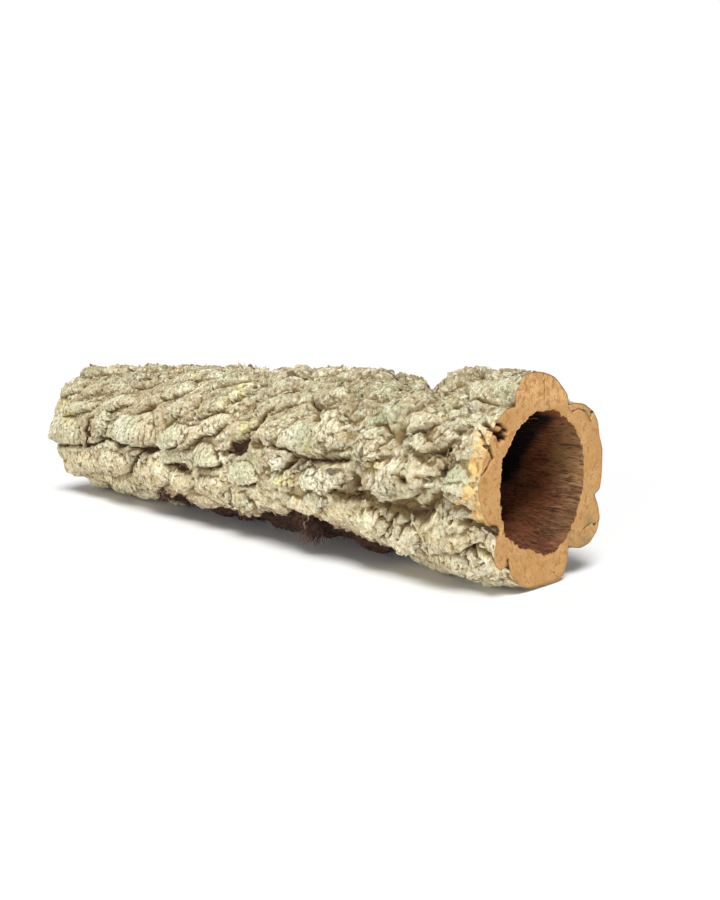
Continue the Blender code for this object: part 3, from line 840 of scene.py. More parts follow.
@dataclass
class BarkRelief:
    """The relief of the bark on a sheet, from its lumps down to its crust.

    Attributes:
        grain: The noise that it is roughened with.
        sheet: The sheet that it shapes and marks.
        lumps: The plates of bark.
        crease_depth: How much the creases between lumps are deepened, as a share of their depth.
        rib_depth: The depth of the grooves across the lumps, in millimetres as all that follow.
        crust_height: The height of the crumbly crust.
        pore_depth: The depth of the pores in it.
        crack_depth: The most that cracks and hollows take away.
        dip_depth: The most that they and the wide dips take away.
        lowest: The lowest that the bark is cut, below the valleys.
        wide_crack: The width from which a crack counts as a dip, and isn't darkened.
        droop: How far the lumps sag over what is below them, as a share of how far they stand out.
    """

    grain: Grain
    sheet: Sheet
    lumps: list[Lump] = field(default_factory=lambda: list(LUMPS) + rest_lumps())
    crease_depth: float = 1.9
    rib_depth: float = 2.1
    crust_height: float = 0.75
    pore_depth: float = 1.1
    crack_depth: float = 9.0
    dip_depth: float = 12.0
    lowest: float = -8.5
    wide_crack: float = 6.0
    droop: float = 0.6

    def __post_init__(self) -> None:
        """Find the sheet's places, as they are and strayed a little and a lot."""
        self.spots = Spots(self.sheet.back, self.sheet.around)
        self.points = self.spots.points()
        self.level = self.points[..., 2]
        self.warped = Spots(self.spots.back + self.warp(Seed.WARP_BACK, Seed.RAGGED_BACK),
                            self.spots.around + self.warp(Seed.WARP_ROUND, Seed.RAGGED_ROUND))
        self.jagged = Spots(self.spots.back + 1.6 * self.rough(8.0, Seed.JAG_BACK),
                            self.spots.around + 1.6 * self.rough(8.0, Seed.JAG_ROUND))

    def noise(self, size: float, seed: Seed) -> np.ndarray:
        """Return noise with lumps of the given size in millimetres at each place."""
        return self.grain.noise(self.points, size, seed)

    def rough(self, size: float, seed: Seed) -> np.ndarray:
        """Return the same with finer noise over it."""
        return self.grain.rough(self.points, size, seed)

    def warp(self, broad: Seed, ragged: Seed) -> np.ndarray:
        """Return how far the lumps' edges stray, which is most near the near end."""
        strength = 4.4 - 2.9 * eased(self.spots.back, 90.0, 230.0)
        return 4.0 * self.noise(26.0, broad) + strength * self.rough(12.0, ragged)

    def shape(self) -> None:
        """Raise the bark's relief on the sheet, and mark it for the finish."""
        self.lay_lumps()
        self.open_cracks()
        self.grow_crust()
        self.wrap()
        self.mark()

    def lay_lumps(self) -> None:
        """Lay the lumps over gently swelling ground, with creases between them."""
        swell = 1.3 * self.noise(45.0, Seed.SWELL) + 0.9 * self.noise(18.0, Seed.SMALL_SWELL)
        self.carried = Carried.laid(self.lumps, self.warped, GROUND + swell)
        height = self.carried.height
        self.hump = self.sheet.blurred(height, 1.5) - self.sheet.blurred(height, 9.0)
        settled = 0.45 * (1.0 - eased(self.spots.back, 110.0, 190.0)) * eased(self.level, -12.0, 20.0)
        self.crease = np.clip(self.sheet.blurred(height, 2.6) - height, 0.0, 1.2) * (1.0 - settled)
        self.height = height - self.crease_depth * self.crease

    def open_cracks(self) -> None:
        """Find how deep cracks, hollows and dips go, and where the bark is torn away."""
        narrow = [crack for crack in CRACKS if crack.width <= self.wide_crack]
        wide = [crack for crack in CRACKS if crack.width > self.wide_crack]
        opened = sum(cut.depth_at(self.jagged) for cut in narrow + HOLLOWS)
        dipped = sum(crack.depth_at(self.jagged) for crack in wide)
        self.opened = np.minimum(opened, self.crack_depth)
        self.cut = np.minimum(self.opened + np.minimum(dipped, self.dip_depth), self.dip_depth)
        self.whole = 1.0 - eased(self.opened, 0.8, 3.5)
        self.torn = torn_share(self.jagged)

    def grow_crust(self) -> None:
        """Add ribs, drooping layers, crumbs and pores, and fibres where the bark is torn."""
        self.rib = self.ribs() * (0.3 + 0.7 * self.whole)
        wide, wide_edge = WIDE_LAYERS.laid(self.grain, self.spots, self.points)
        narrow, narrow_edge = NARROW_LAYERS.laid(self.grain, self.spots, self.points)
        self.layer_edge = np.maximum(wide_edge, 0.8 * narrow_edge)
        self.crust = eased(self.rough(34.0, Seed.CRUST), -0.25, 0.5) * self.whole
        upper = eased(self.level + 12.0 * self.noise(30.0, Seed.UPPER), -4.0, 26.0)
        rugged = np.maximum(0.55 * upper, 1.0 - eased(self.spots.back, 70.0, 130.0))
        pored = self.noise(3.0, Seed.PITS) + 0.5 * self.noise(14.0, Seed.PIT_FIELDS)
        self.pores = eased(pored, 0.42, 0.75) * (0.15 + 0.85 * rugged)
        detail = self.rib_depth * self.rib + (wide + narrow)
        detail += self.crust_height * (0.25 + 0.3 * self.crust + 0.9 * rugged) * self.crumbs()
        detail -= self.pore_depth * self.pores
        detail = detail * (1.0 - self.torn) + self.torn * (self.fibres() - TORN_DEPTH)
        self.height = self.height - eased(self.height, 6.5, 9.5) + detail - 0.5

    def crumbs(self) -> np.ndarray:
        """Return the crust's crumbs, drawn out round the tube and leaning."""
        slant = 0.55 * BARK_RADIUS * np.sin(np.radians(self.spots.around - 30.0))
        leaning = Spots(self.spots.back + slant, self.spots.around).points() * (1.0, 0.42, 0.42)
        return 1.0 - 2.2 * np.abs(self.grain.rough(leaning, 5.4, Seed.CRUMBS))

    def fibres(self) -> np.ndarray:
        """Return the lengthwise fibres of the torn underside."""
        coarse = self.grain.noise(self.points * (0.16, 1.0, 1.0), 2.8, Seed.TORN_FIBRES)
        return coarse + 0.6 * self.grain.noise(self.points * (0.3, 1.0, 1.0), 1.7, Seed.TORN_THREADS)

    def ribs(self) -> np.ndarray:
        """Return the ribs that run round the tube across each lump, with a groove between them."""
        spacing = 3.4 + 3.6 * self.carried.tone
        swell = np.clip(self.carried.swell, -1.1, 1.1)
        bowed = self.carried.end * (1.0 + 0.3 * swell ** 2)
        bowed = bowed + 1.3 * self.noise(11.0, Seed.BOW) + 0.5 * self.noise(4.0, Seed.SMALL_BOW)
        turn = bowed / spacing + 7.0 * self.carried.tone
        share = turn - np.floor(turn)
        groove = 1.0 - eased(np.minimum(share, 1.0 - share) * spacing, 0.0, 1.05)
        streak = np.stack([bowed, self.carried.side * 0.14, self.carried.tone * 900.0], axis=-1)
        strong = eased(self.grain.noise(streak, 5.5, Seed.STRONG_RIBS), -0.35, 0.45)
        fine = np.clip(1.0 - np.abs(self.grain.noise(streak, 2.2, Seed.FINE_RIBS)) * 3.0, 0.0, 1.0)
        ribs = 0.3 - (0.35 + 0.95 * strong) * groove - 0.3 * fine
        return ribs * self.ribbed() * (0.35 + 0.65 * self.carried.held)

    def ribbed(self) -> np.ndarray:
        """Return how strongly each place is ribbed: most low down and on the far half."""
        back = self.spots.back
        where = eased(self.noise(20.0, Seed.RIB_FIELDS), -0.6, 0.2)
        where = where * (0.25 + 0.75 * eased(0.8 - self.carried.swell, 0.0, 1.0))
        where = where * (1.0 - 0.6 * eased(self.level, 15.0, 50.0))
        return where * (0.35 + 0.65 * eased(back, 50.0, 110.0)) * (1.0 + 0.45 * eased(back, 190.0, 260.0))

    def wrap(self) -> None:
        """Give the sheet its points, from the sawn outline at the near end into the bark's form."""
        back, around = self.spots.back, self.spots.around
        valley = BARK_RADIUS - VALLEY_DEPTH - BARK_RADIUS * TAPER * back / LENGTH
        share = np.clip(back / END_BLEND, 0.0, 1.0) ** 1.5
        angles, radii = np.array(NEAR_OUTLINE).T
        outline = np.interp(turned(around), angles, radii, period=360.0)
        radius = outline * (1 - share) + (valley + self.height) * share
        radius = radius - self.cut * np.clip(back / RIM_BLEND, 0.0, 1.0)
        radius = np.maximum(radius, valley + self.lowest)
        self.height = np.maximum(self.height - self.cut, self.lowest)
        beyond = np.maximum(-radius * np.cos(np.radians(around)) - BACK_REACH, 0.0)
        free = self.droop * self.hump * share * np.clip((LENGTH - back) / 12.0, 0.0, 1.0)
        self.sheet.wrap(radius - BACK_PRESS * beyond, 0.3 * free, -free)

    def mark(self) -> None:
        """Mark the sheet with what the finish reads."""
        self.sheet.marks = {
            **self.darkening_marks(), **self.form_marks(), **self.zone_marks(),
            "lemon": stained(LEMON_SPOTS, self.jagged),
            "white": stained(WHITE_SPOTS, self.jagged),
            "mint": stained(MINT_SPOTS, self.jagged),
            "spot_shade": stained(SHADE_SPOTS, self.jagged),
        }

    def darkening_marks(self) -> dict[str, np.ndarray]:
        """Return where the bark is darkened: in crevices and along lines, as painted shade with dark cork,
        and round the hollows.
        """
        pit = np.clip(self.sheet.blurred(self.height, 2.5) - self.height, 0.0, 2.0) / 2.0
        deep = eased(self.opened + 0.4 * self.rough(5.0, Seed.DEEP), 1.2, 4.6)
        # Painted shade with dark cork: crevices, creases, cracks and pores are darkened, more so towards
        # the far end.
        grime_and_shade = 0.72 + 0.58 * eased(self.spots.back, 100.0, 260.0)
        crevice = grime_and_shade * (0.9 * pit + 0.6 * eased(self.crease, 0.3, 1.1) + 0.72 * deep) + 0.5 * self.pores
        return {
            "crevice": np.clip(crevice, 0.0, 1.0),
            # The rib grooves and the layers' edges, which the finish darkens as painted shade.
            "line": np.clip(np.maximum(-self.rib, self.layer_edge), 0.0, 1.0),
            # Round the hollows, which the finish darkens.
            "darkening": np.minimum(sum(hollow.around_it(self.jagged) for hollow in HOLLOWS), 1.0),
        }

    def form_marks(self) -> dict[str, np.ndarray]:
        """Return what follows the form: crests, broad swells, and the lumps' lit and lower sides, where the
        finish paints highlight and shade.
        """
        height, swell, held = self.height, self.carried.swell, self.carried.held
        return {
            "crust": self.crust,
            "tone": self.carried.tone,
            "crest": eased(height - self.sheet.blurred(height, 4.0), -1.3, 1.3),
            "broad": eased(height - self.sheet.blurred(height, 12.0), -3.2, 3.2),
            "under": eased(-swell, 0.15, 1.0) * held,
            "sunny": eased(swell, -0.5, 0.2) * (1.0 - eased(swell, 0.5, 1.1)) * held,
        }

    def zone_marks(self) -> dict[str, np.ndarray]:
        """Return the zones: torn, hem, bare, lower, upper and far."""
        level, around = self.level, turned(self.spots.around)
        bare_reach = 7.5 + 7.5 * self.rough(8.0, Seed.BARE)
        bare_ends = eased(around, -24.0, -16.0) * (1.0 - eased(around, 32.0, 42.0))
        return {
            # The torn colour reaches further round than the tear, to -125 degrees, and darkens the bark
            # below it: painted shade.
            "torn": torn_share(self.jagged, -125.0),
            "hem": hem_share(self.jagged),
            "bare": (1.0 - eased(self.spots.back - bare_reach, -1.5, 1.5)) * bare_ends,
            # The underside, which the finish paints lighter: painted light, with its warmer tone.
            "lower": 1.0 - eased(level + 6.0 * self.noise(25.0, Seed.LOWER), -30.0, 2.0),
            "upper": eased(level + 8.0 * self.noise(30.0, Seed.UPPER), 24.0, 58.0),
            "far": eased(self.spots.back + 14.0 * self.noise(30.0, Seed.FAR), 250.0, 400.0),
        }


@dataclass
class HollowLining:
    """The wall of the hollow, with its lengthwise fibres.

    Attributes:
        grain: The noise that it is roughened with.
        rows: How many rows of points it has, closest together at the near mouth.
        mouth_length: How far in the outline of the near mouth can be felt.
        thinnest: The most that the relief may narrow the hollow.
    """

    grain: Grain
    rows: int = 104
    mouth_length: float = 60.0
    thinnest: float = 3.2

    def __post_init__(self) -> None:
        """Lay the sheet that becomes the wall."""
        self.sheet = Sheet.laid(LENGTH * np.linspace(0.0, 1.0, self.rows) ** 1.6)
        self.spots = Spots(self.sheet.back, self.sheet.around)
        self.low = eased(-np.sin(np.radians(self.spots.around)), 0.0, 0.6)

    def shape(self) -> Sheet:
        """Shape the wall, mark it for the finish and return it."""
        relief = self.relief()
        radius = self.bore() - HOLE_RADIUS * TAPER * self.spots.back / LENGTH + relief
        self.sheet.wrap(np.maximum(radius, HOLE_RADIUS - self.thinnest))
        self.mark(relief)
        return self.sheet

    def bore(self) -> np.ndarray:
        """Return the hollow's radius at each place, from its ragged near mouth inwards."""
        angles, radii = np.array(HOLE_OUTLINE).T
        rim = Spots(0.0 * self.spots.back, self.spots.around).points(HOLE_RADIUS)
        ragged = (0.5 + 1.1 * self.low) * self.grain.rough(rim, 6.0, Seed.HOLE_MOUTH)
        mouth = np.interp(turned(self.spots.around), angles, radii, period=360.0) + ragged
        wide = HOLE_RADIUS + 1.6 * self.grain.noise(self.spots.points(HOLE_RADIUS, 0.3), 30.0, Seed.HOLE)
        return wide + (mouth - wide) * (1.0 - eased(self.spots.back, 0.0, self.mouth_length))

    def relief(self) -> np.ndarray:
        """Return the height of the slanting fibres, the ridges between them and the crumbs."""
        slanted = Spots(self.spots.back, self.spots.around + 0.06 * self.spots.back)
        fibres = self.grain.rough(slanted.points(HOLE_RADIUS, 0.08), 2.6, Seed.HOLE_FIBRES)
        ridges = self.grain.noise(slanted.points(HOLE_RADIUS, 0.12), 2.2, Seed.HOLE_RIDGES)
        crumbs = self.grain.rough(self.spots.points(HOLE_RADIUS, 0.5), 4.5, Seed.HOLE_CRUMBS)
        return 0.75 * fibres - 0.5 * (1.0 - 2.0 * np.abs(ridges)) + 0.7 * crumbs

    def mark(self, relief: np.ndarray) -> None:
        """Mark the ridges, the olive wall by the mouth, the lower wall deeper in, and where the wall is
        painted black as shadow.
        """
        back, around = self.spots.back, self.spots.around
        strayed = back + 5.0 * self.grain.rough(self.spots.points(HOLE_RADIUS), 16.0, Seed.HOLE_STRAY)
        # Painted shadow: deeper in than these depths the wall is painted black, as the rim's shadow, fading
        # out again towards the far mouth.
        angles, depths = np.array(PAINTED_SHADOW_FROM).T
        black = eased(strayed - np.interp(around % 360.0, angles, depths, period=360.0), -5.0, 5.0)
        facing = eased(np.cos(np.radians(around - 188.0)), 0.35, 0.95)
        self.sheet.marks = {
            # How far the fibres stand out. The finish paints highlights on them and shade between them.
            "ridge": eased(-relief, -0.9, 1.2),
            "olive_mouth": (1.0 - eased(strayed, 3.0, 26.0)) * facing,
            "black": black * (1.0 - eased(strayed, LENGTH - 110.0, LENGTH - 25.0)),
            # The lower wall deeper in, which the finish paints lighter: painted light.
            "deep": eased(back, 14.0, 42.0) * self.low,
            "shallow": (1.0 - eased(strayed, 12.0, 34.0)) * self.low,
        }


@dataclass
class SawnFace:
    """A sawn end of the tube, between the bark's edge and the hollow's.

    Attributes:
        grain: The noise that it is roughened with.
        rim: The points of the bark's edge.
        mouth: The points of the hollow's edge.
        rows: How many rows of points lie across the wall.
        outward: 1.0 where it looks along +X and -1.0 where it looks the other way.
        shift: How far its points are moved where it reads the noise and the marks, so that it has a
            grain of its own. The upper part is painted paler, as painted light from above, so a high shift
            makes it pale all over.
        slits: The slits in it.
        stains: The stains on it.
    """

    grain: Grain
    rim: np.ndarray
    mouth: np.ndarray
    rows: int
    outward: float = 1.0
    shift: float = 0.0
    slits: list[Crack] = field(default_factory=list)
    stains: list[tuple[float, float, float]] = field(default_factory=list)

    def sleeve(self) -> Sleeve:
        """Return the face as a sleeve of points, with its cuts and marks."""
        share = np.linspace(0.0, 1.0, self.rows)[:, None, None]
        points = self.rim[None] * (1 - share) + self.mouth[None] * share
        wall = np.linalg.norm(self.rim - self.mouth, axis=1)[None, :]
        inward = share[:, :, 0] * wall
        place = points + self.shift
        slit = self.slit(place)
        marks = {"inward": inward, "slit": eased(slit, 0.3, 2.5), "stain": self.stain(place),
                 # The upper part of the face, which the finish paints paler: painted light.
                 "pale": eased(place[..., 2] + 5.0 * self.grain.noise(place, 9.0, Seed.PALE), 92.0, 110.0)}
        edge = 0.6 * np.exp(-(inward / 0.7) ** 2) + 0.4 * np.exp(-((wall - inward) / 0.8) ** 2)
        depth = np.clip(edge + self.roughness(place) + slit, 0.0, 7.0)
        depth[0] = depth[-1] = 0.0
        points[:, :, 0] -= self.outward * depth
        normals = Sheet(inward, inward, points).normals()
        normals *= np.sign(normals[:, :, :1])
        return Sleeve(points, normals, marks, inside=self.outward < 0)

    def roughness(self, place: np.ndarray) -> np.ndarray:
        """Return how deep the saw's marks and the cork's pores are."""
        pores = 1.1 * eased(self.grain.noise(place, 3.1, Seed.SAW_PITS), 0.62, 0.9)
        return pores - 0.12 * self.grain.rough(place, 2.2, Seed.SAW_MARKS)

    def slit(self, place: np.ndarray) -> np.ndarray:
        """Return how deep the slits are."""
        jag = 0.5 * self.grain.rough(place, 3.0, Seed.SLITS)
        depth = sum((crack.slit_at(place, jag) for crack in self.slits), np.zeros(place.shape[:-1]))
        return np.minimum(depth, 6.0)

    def stain(self, place: np.ndarray) -> np.ndarray:
        """Return how strongly each point is stained, from 0 to 1."""
        share = np.zeros(place.shape[:-1])
        for around, radius, reach in self.stains:
            side, height = face_spot(around, radius)
            off = np.hypot(place[..., 1] - side, place[..., 2] - height)
            share = np.maximum(share, np.exp(-(off / reach) ** 2))
        return share


@dataclass
class CorkTube:
    """The bark tube: its bark, two sawn faces and the hollow's wall.

    Attributes:
        grain: The noise that all of it is roughened with.
        near_row: The distance between the bark's rows at the near end.
        far_row: The same at the far end.
        bark_pieces: The names of the lengths that the bark is made in, from the near end.
    """

    grain: Grain
    near_row: float = 0.62
    far_row: float = 1.06
    bark_pieces: tuple[str, ...] = ("bark_near_third", "bark_middle_third", "bark_far_third")

    def __post_init__(self) -> None:
        """Shape the bark and the hollow."""
        self.bark = Sheet.laid(self.row_places())
        BarkRelief(self.grain, self.bark).shape()
        self.hollow = HollowLining(self.grain).shape()

    def row_places(self) -> np.ndarray:
        """Return the places of the bark's rows, closer together towards the near end."""
        count = round(2 * LENGTH / (self.near_row + self.far_row))
        index = np.arange(count + 1) / count
        growth = (self.far_row - self.near_row) / (self.far_row + self.near_row)
        return LENGTH * index * (1.0 - growth + growth * index)

    def build(self) -> list[bpy.types.Object]:
        """Build every part of the tube's surface and return them, the near bark first."""
        sleeves = self.bark_sleeves()
        sleeves["hollow_wall"] = Sleeve(self.hollow.points, self.hollow.normals(), self.hollow.marks,
                                        inside=True)
        sleeves["sawn_face_near"] = SawnFace(self.grain, self.bark.points[0], self.hollow.points[0],
                                             rows=46, slits=FACE_SLITS, stains=FACE_STAINS).sleeve()
        sleeves["sawn_face_far"] = SawnFace(self.grain, self.bark.points[-1], self.hollow.points[-1],
                                            rows=14, outward=-1.0, shift=300.0).sleeve()
        return [shown(name, sleeve.mesh(name)) for name, sleeve in sleeves.items()]

    def bark_sleeves(self) -> dict[str, Sleeve]:
        """Return the bark in lengths, each by its piece's name."""
        last_row = len(self.bark.back) - 1
        cuts = np.linspace(0, last_row, len(self.bark_pieces) + 1).round().astype(int)
        normals = self.bark.normals()
        return {name: self.bark.sleeve(slice(first, last + 1), normals)
                for name, first, last in zip(self.bark_pieces, cuts, cuts[1:])}


@dataclass
class Seats:
    """Where small loose pieces sit on a surface.

    Attributes:
        points: Their places, in millimetres.
        up: The direction out of the surface at each.
        along: The direction along the tube at each, in the surface.
        marks: The surface's marks at each.
    """

    points: np.ndarray
    up: np.ndarray
    along: np.ndarray
    marks: dict[str, np.ndarray]

    @classmethod
    def drawn(cls, sheet: Sheet, weight: np.ndarray, count: int, seed: Seed) -> "Seats":
        """Draw places on a sheet, more of them where the weight is higher.

        Args:
            sheet: The shaped sheet.
            weight: How likely each of its places is.
            count: How many places are drawn.
            seed: Which draw it is.

        Returns:
            The seats.
        """
        rows = np.gradient(sheet.back[:, :1], axis=0)
        share = np.maximum(weight * rows, 0.0).ravel()
        index = np.random.RandomState(seed).choice(share.size, size=count, p=share / share.sum())
        row, column = np.unravel_index(index, sheet.back.shape)
        up = sheet.normals()[row, column]
        along = np.gradient(sheet.points, axis=0)[row, column]
        along = unit(along - up * np.sum(along * up, axis=1, keepdims=True))
        marks = {mark: values[row, column] for mark, values in sheet.marks.items()}
        return cls(sheet.points[row, column], up, along, marks)

    def with_less_crevice_darkening(self) -> "Seats":
        """Take most of the darkening of crevices and lines, painted shade and dark cork, off what sits
        here, and return the seats.
        """
        for mark in ("line", "crevice"):
            self.marks[mark] = 0.3 * self.marks[mark]
        return self


def turn_about(axis: np.ndarray, vector: np.ndarray, angle: np.ndarray) -> np.ndarray:
    """Turn vectors about axes at right angles to them, each by its own angle in radians."""
    return vector * np.cos(angle)[:, None] + np.cross(axis, vector) * np.sin(angle)[:, None]


class Swarm:
    """Many copies of one small shape, which become one piece.

    Attributes:
        data: The mesh that holds all the copies.
        local: The copies' own points, by copy and point.
    """

    LOW_MARGIN = (0.2, 0.4, 0.15)
    HIGH_MARGIN = (0.2, 0.4, 0.05)

    def __init__(self, shape: bmesh.types.BMesh, count: int) -> None:
        """Copy a shape and free it.

        Args:
            shape: The shape.
            count: How many copies there are.
        """
        data = bpy.data.meshes.new("shape")
        shape.to_mesh(data)
        shape.free()
        holder = bpy.data.objects.new("shape", data)
        bpy.context.collection.objects.link(holder)
        repeat = holder.modifiers.new("repeat", "ARRAY")
        repeat.count = count
        repeat.use_relative_offset = False
        self.data = bpy.data.meshes.new_from_object(
            holder.evaluated_get(bpy.context.evaluated_depsgraph_get()))
        bpy.data.objects.remove(holder)
        flat = np.empty(3 * len(self.data.vertices), dtype=np.float32)
        self.data.vertices.foreach_get("co", flat)
        self.local = flat.reshape(count, -1, 3).astype(float)

    def set_down(self, name: str, seats: Seats, axes: tuple[np.ndarray, ...]) -> bpy.types.Object:
        """Move each copy to its seat.

        Args:
            name: The piece's name.
            seats: Where the copies sit.
            axes: Each copy's own three directions.

        Returns:
            The finished piece.
        """
        turned_points = sum(self.local[:, :, axis:axis + 1] * axes[axis][:, None, :] for axis in range(3))
        return self.placed(name, seats.points[:, None, :] + turned_points, seats.marks)

    def placed(self, name: str, points: np.ndarray, marks: dict[str, np.ndarray]) -> bpy.types.Object:
        """Give the copies their points and marks, just inside the solid's box.

        Args:
            name: The piece's name.
            points: The points in millimetres, by copy and point.
            marks: Each copy's marks.

        Returns:
            The finished piece.
        """
        low, high = (np.array(corner) / MM for corner in CAD_BOX)
        points = np.clip(points, low + self.LOW_MARGIN, high - self.HIGH_MARGIN)
        self.data.vertices.foreach_set("co", as_floats(points * MM))
        store_marks(self.data, {mark: np.repeat(values, points.shape[1]) for mark, values in marks.items()})
        return shown(name, self.data)


@dataclass(frozen=True)
class Fibres:
    """Thin curling fibres that become one piece.

    Attributes:
        name: The piece's name.
        curl: How far they stray sideways, as a share of their length.
        seed: Which fibres they are.
        bends: How many joints each has along it.
        taper: How much of its thickness it loses towards its tip.
    """

    name: str
    curl: float
    seed: Seed
    bends: int = 7
    taper: float = 0.7

    def straw(self) -> bmesh.types.BMesh:
        """Return one straight fibre, three-sided and 1 long."""
        shape = bmesh.new()
        bmesh.ops.create_cone(shape, cap_ends=True, segments=3, radius1=1.0, radius2=1.0, depth=1.0)
        rising = [edge for edge in shape.edges if abs(edge.verts[0].co.z - edge.verts[1].co.z) > 0.5]
        bmesh.ops.subdivide_edges(shape, edges=rising, cuts=self.bends, use_grid_fill=True)
        return shape

    def grown(self, starts: np.ndarray, heading: np.ndarray, length: np.ndarray,
              thickness: np.ndarray) -> bpy.types.Object:
        """Grow the fibres.

        Args:
            starts: Where each begins, in millimetres.
            heading: The direction in which each sets off.
            length: Each one's length.
            thickness: Each one's radius at its root.

        Returns:
            The finished piece.
        """
        draws = np.random.RandomState(self.seed)
        swarm = Swarm(self.straw(), len(starts))
        share = swarm.local[:, :, 2] + 0.5
        side = unit(np.cross(heading, draws.normal(size=starts.shape)))
        other = np.cross(heading, side)
        points = starts[:, None, :] + heading[:, None, :] * (length[:, None] * share)[:, :, None]
        for direction in (side, other):
            for waves in (0.5, 1.3, 2.4):
                swing = self.curl * length * draws.uniform(-1, 1, len(starts)) / (0.6 + waves)
                phase = draws.uniform(0, 2 * math.pi, len(starts))[:, None]
                stray = np.sin(2 * math.pi * waves * share + phase) - np.sin(phase)
                points += direction[:, None, :] * (swing[:, None] * stray)[:, :, None]
        radius = thickness[:, None] * (1.0 - self.taper * share)
        for axis, direction in enumerate((side, other)):
            points += direction[:, None, :] * (swarm.local[:, :, axis] * radius)[:, :, None]
        return swarm.placed(self.name, points, {"bleached": draws.uniform(0, 1, len(starts))})


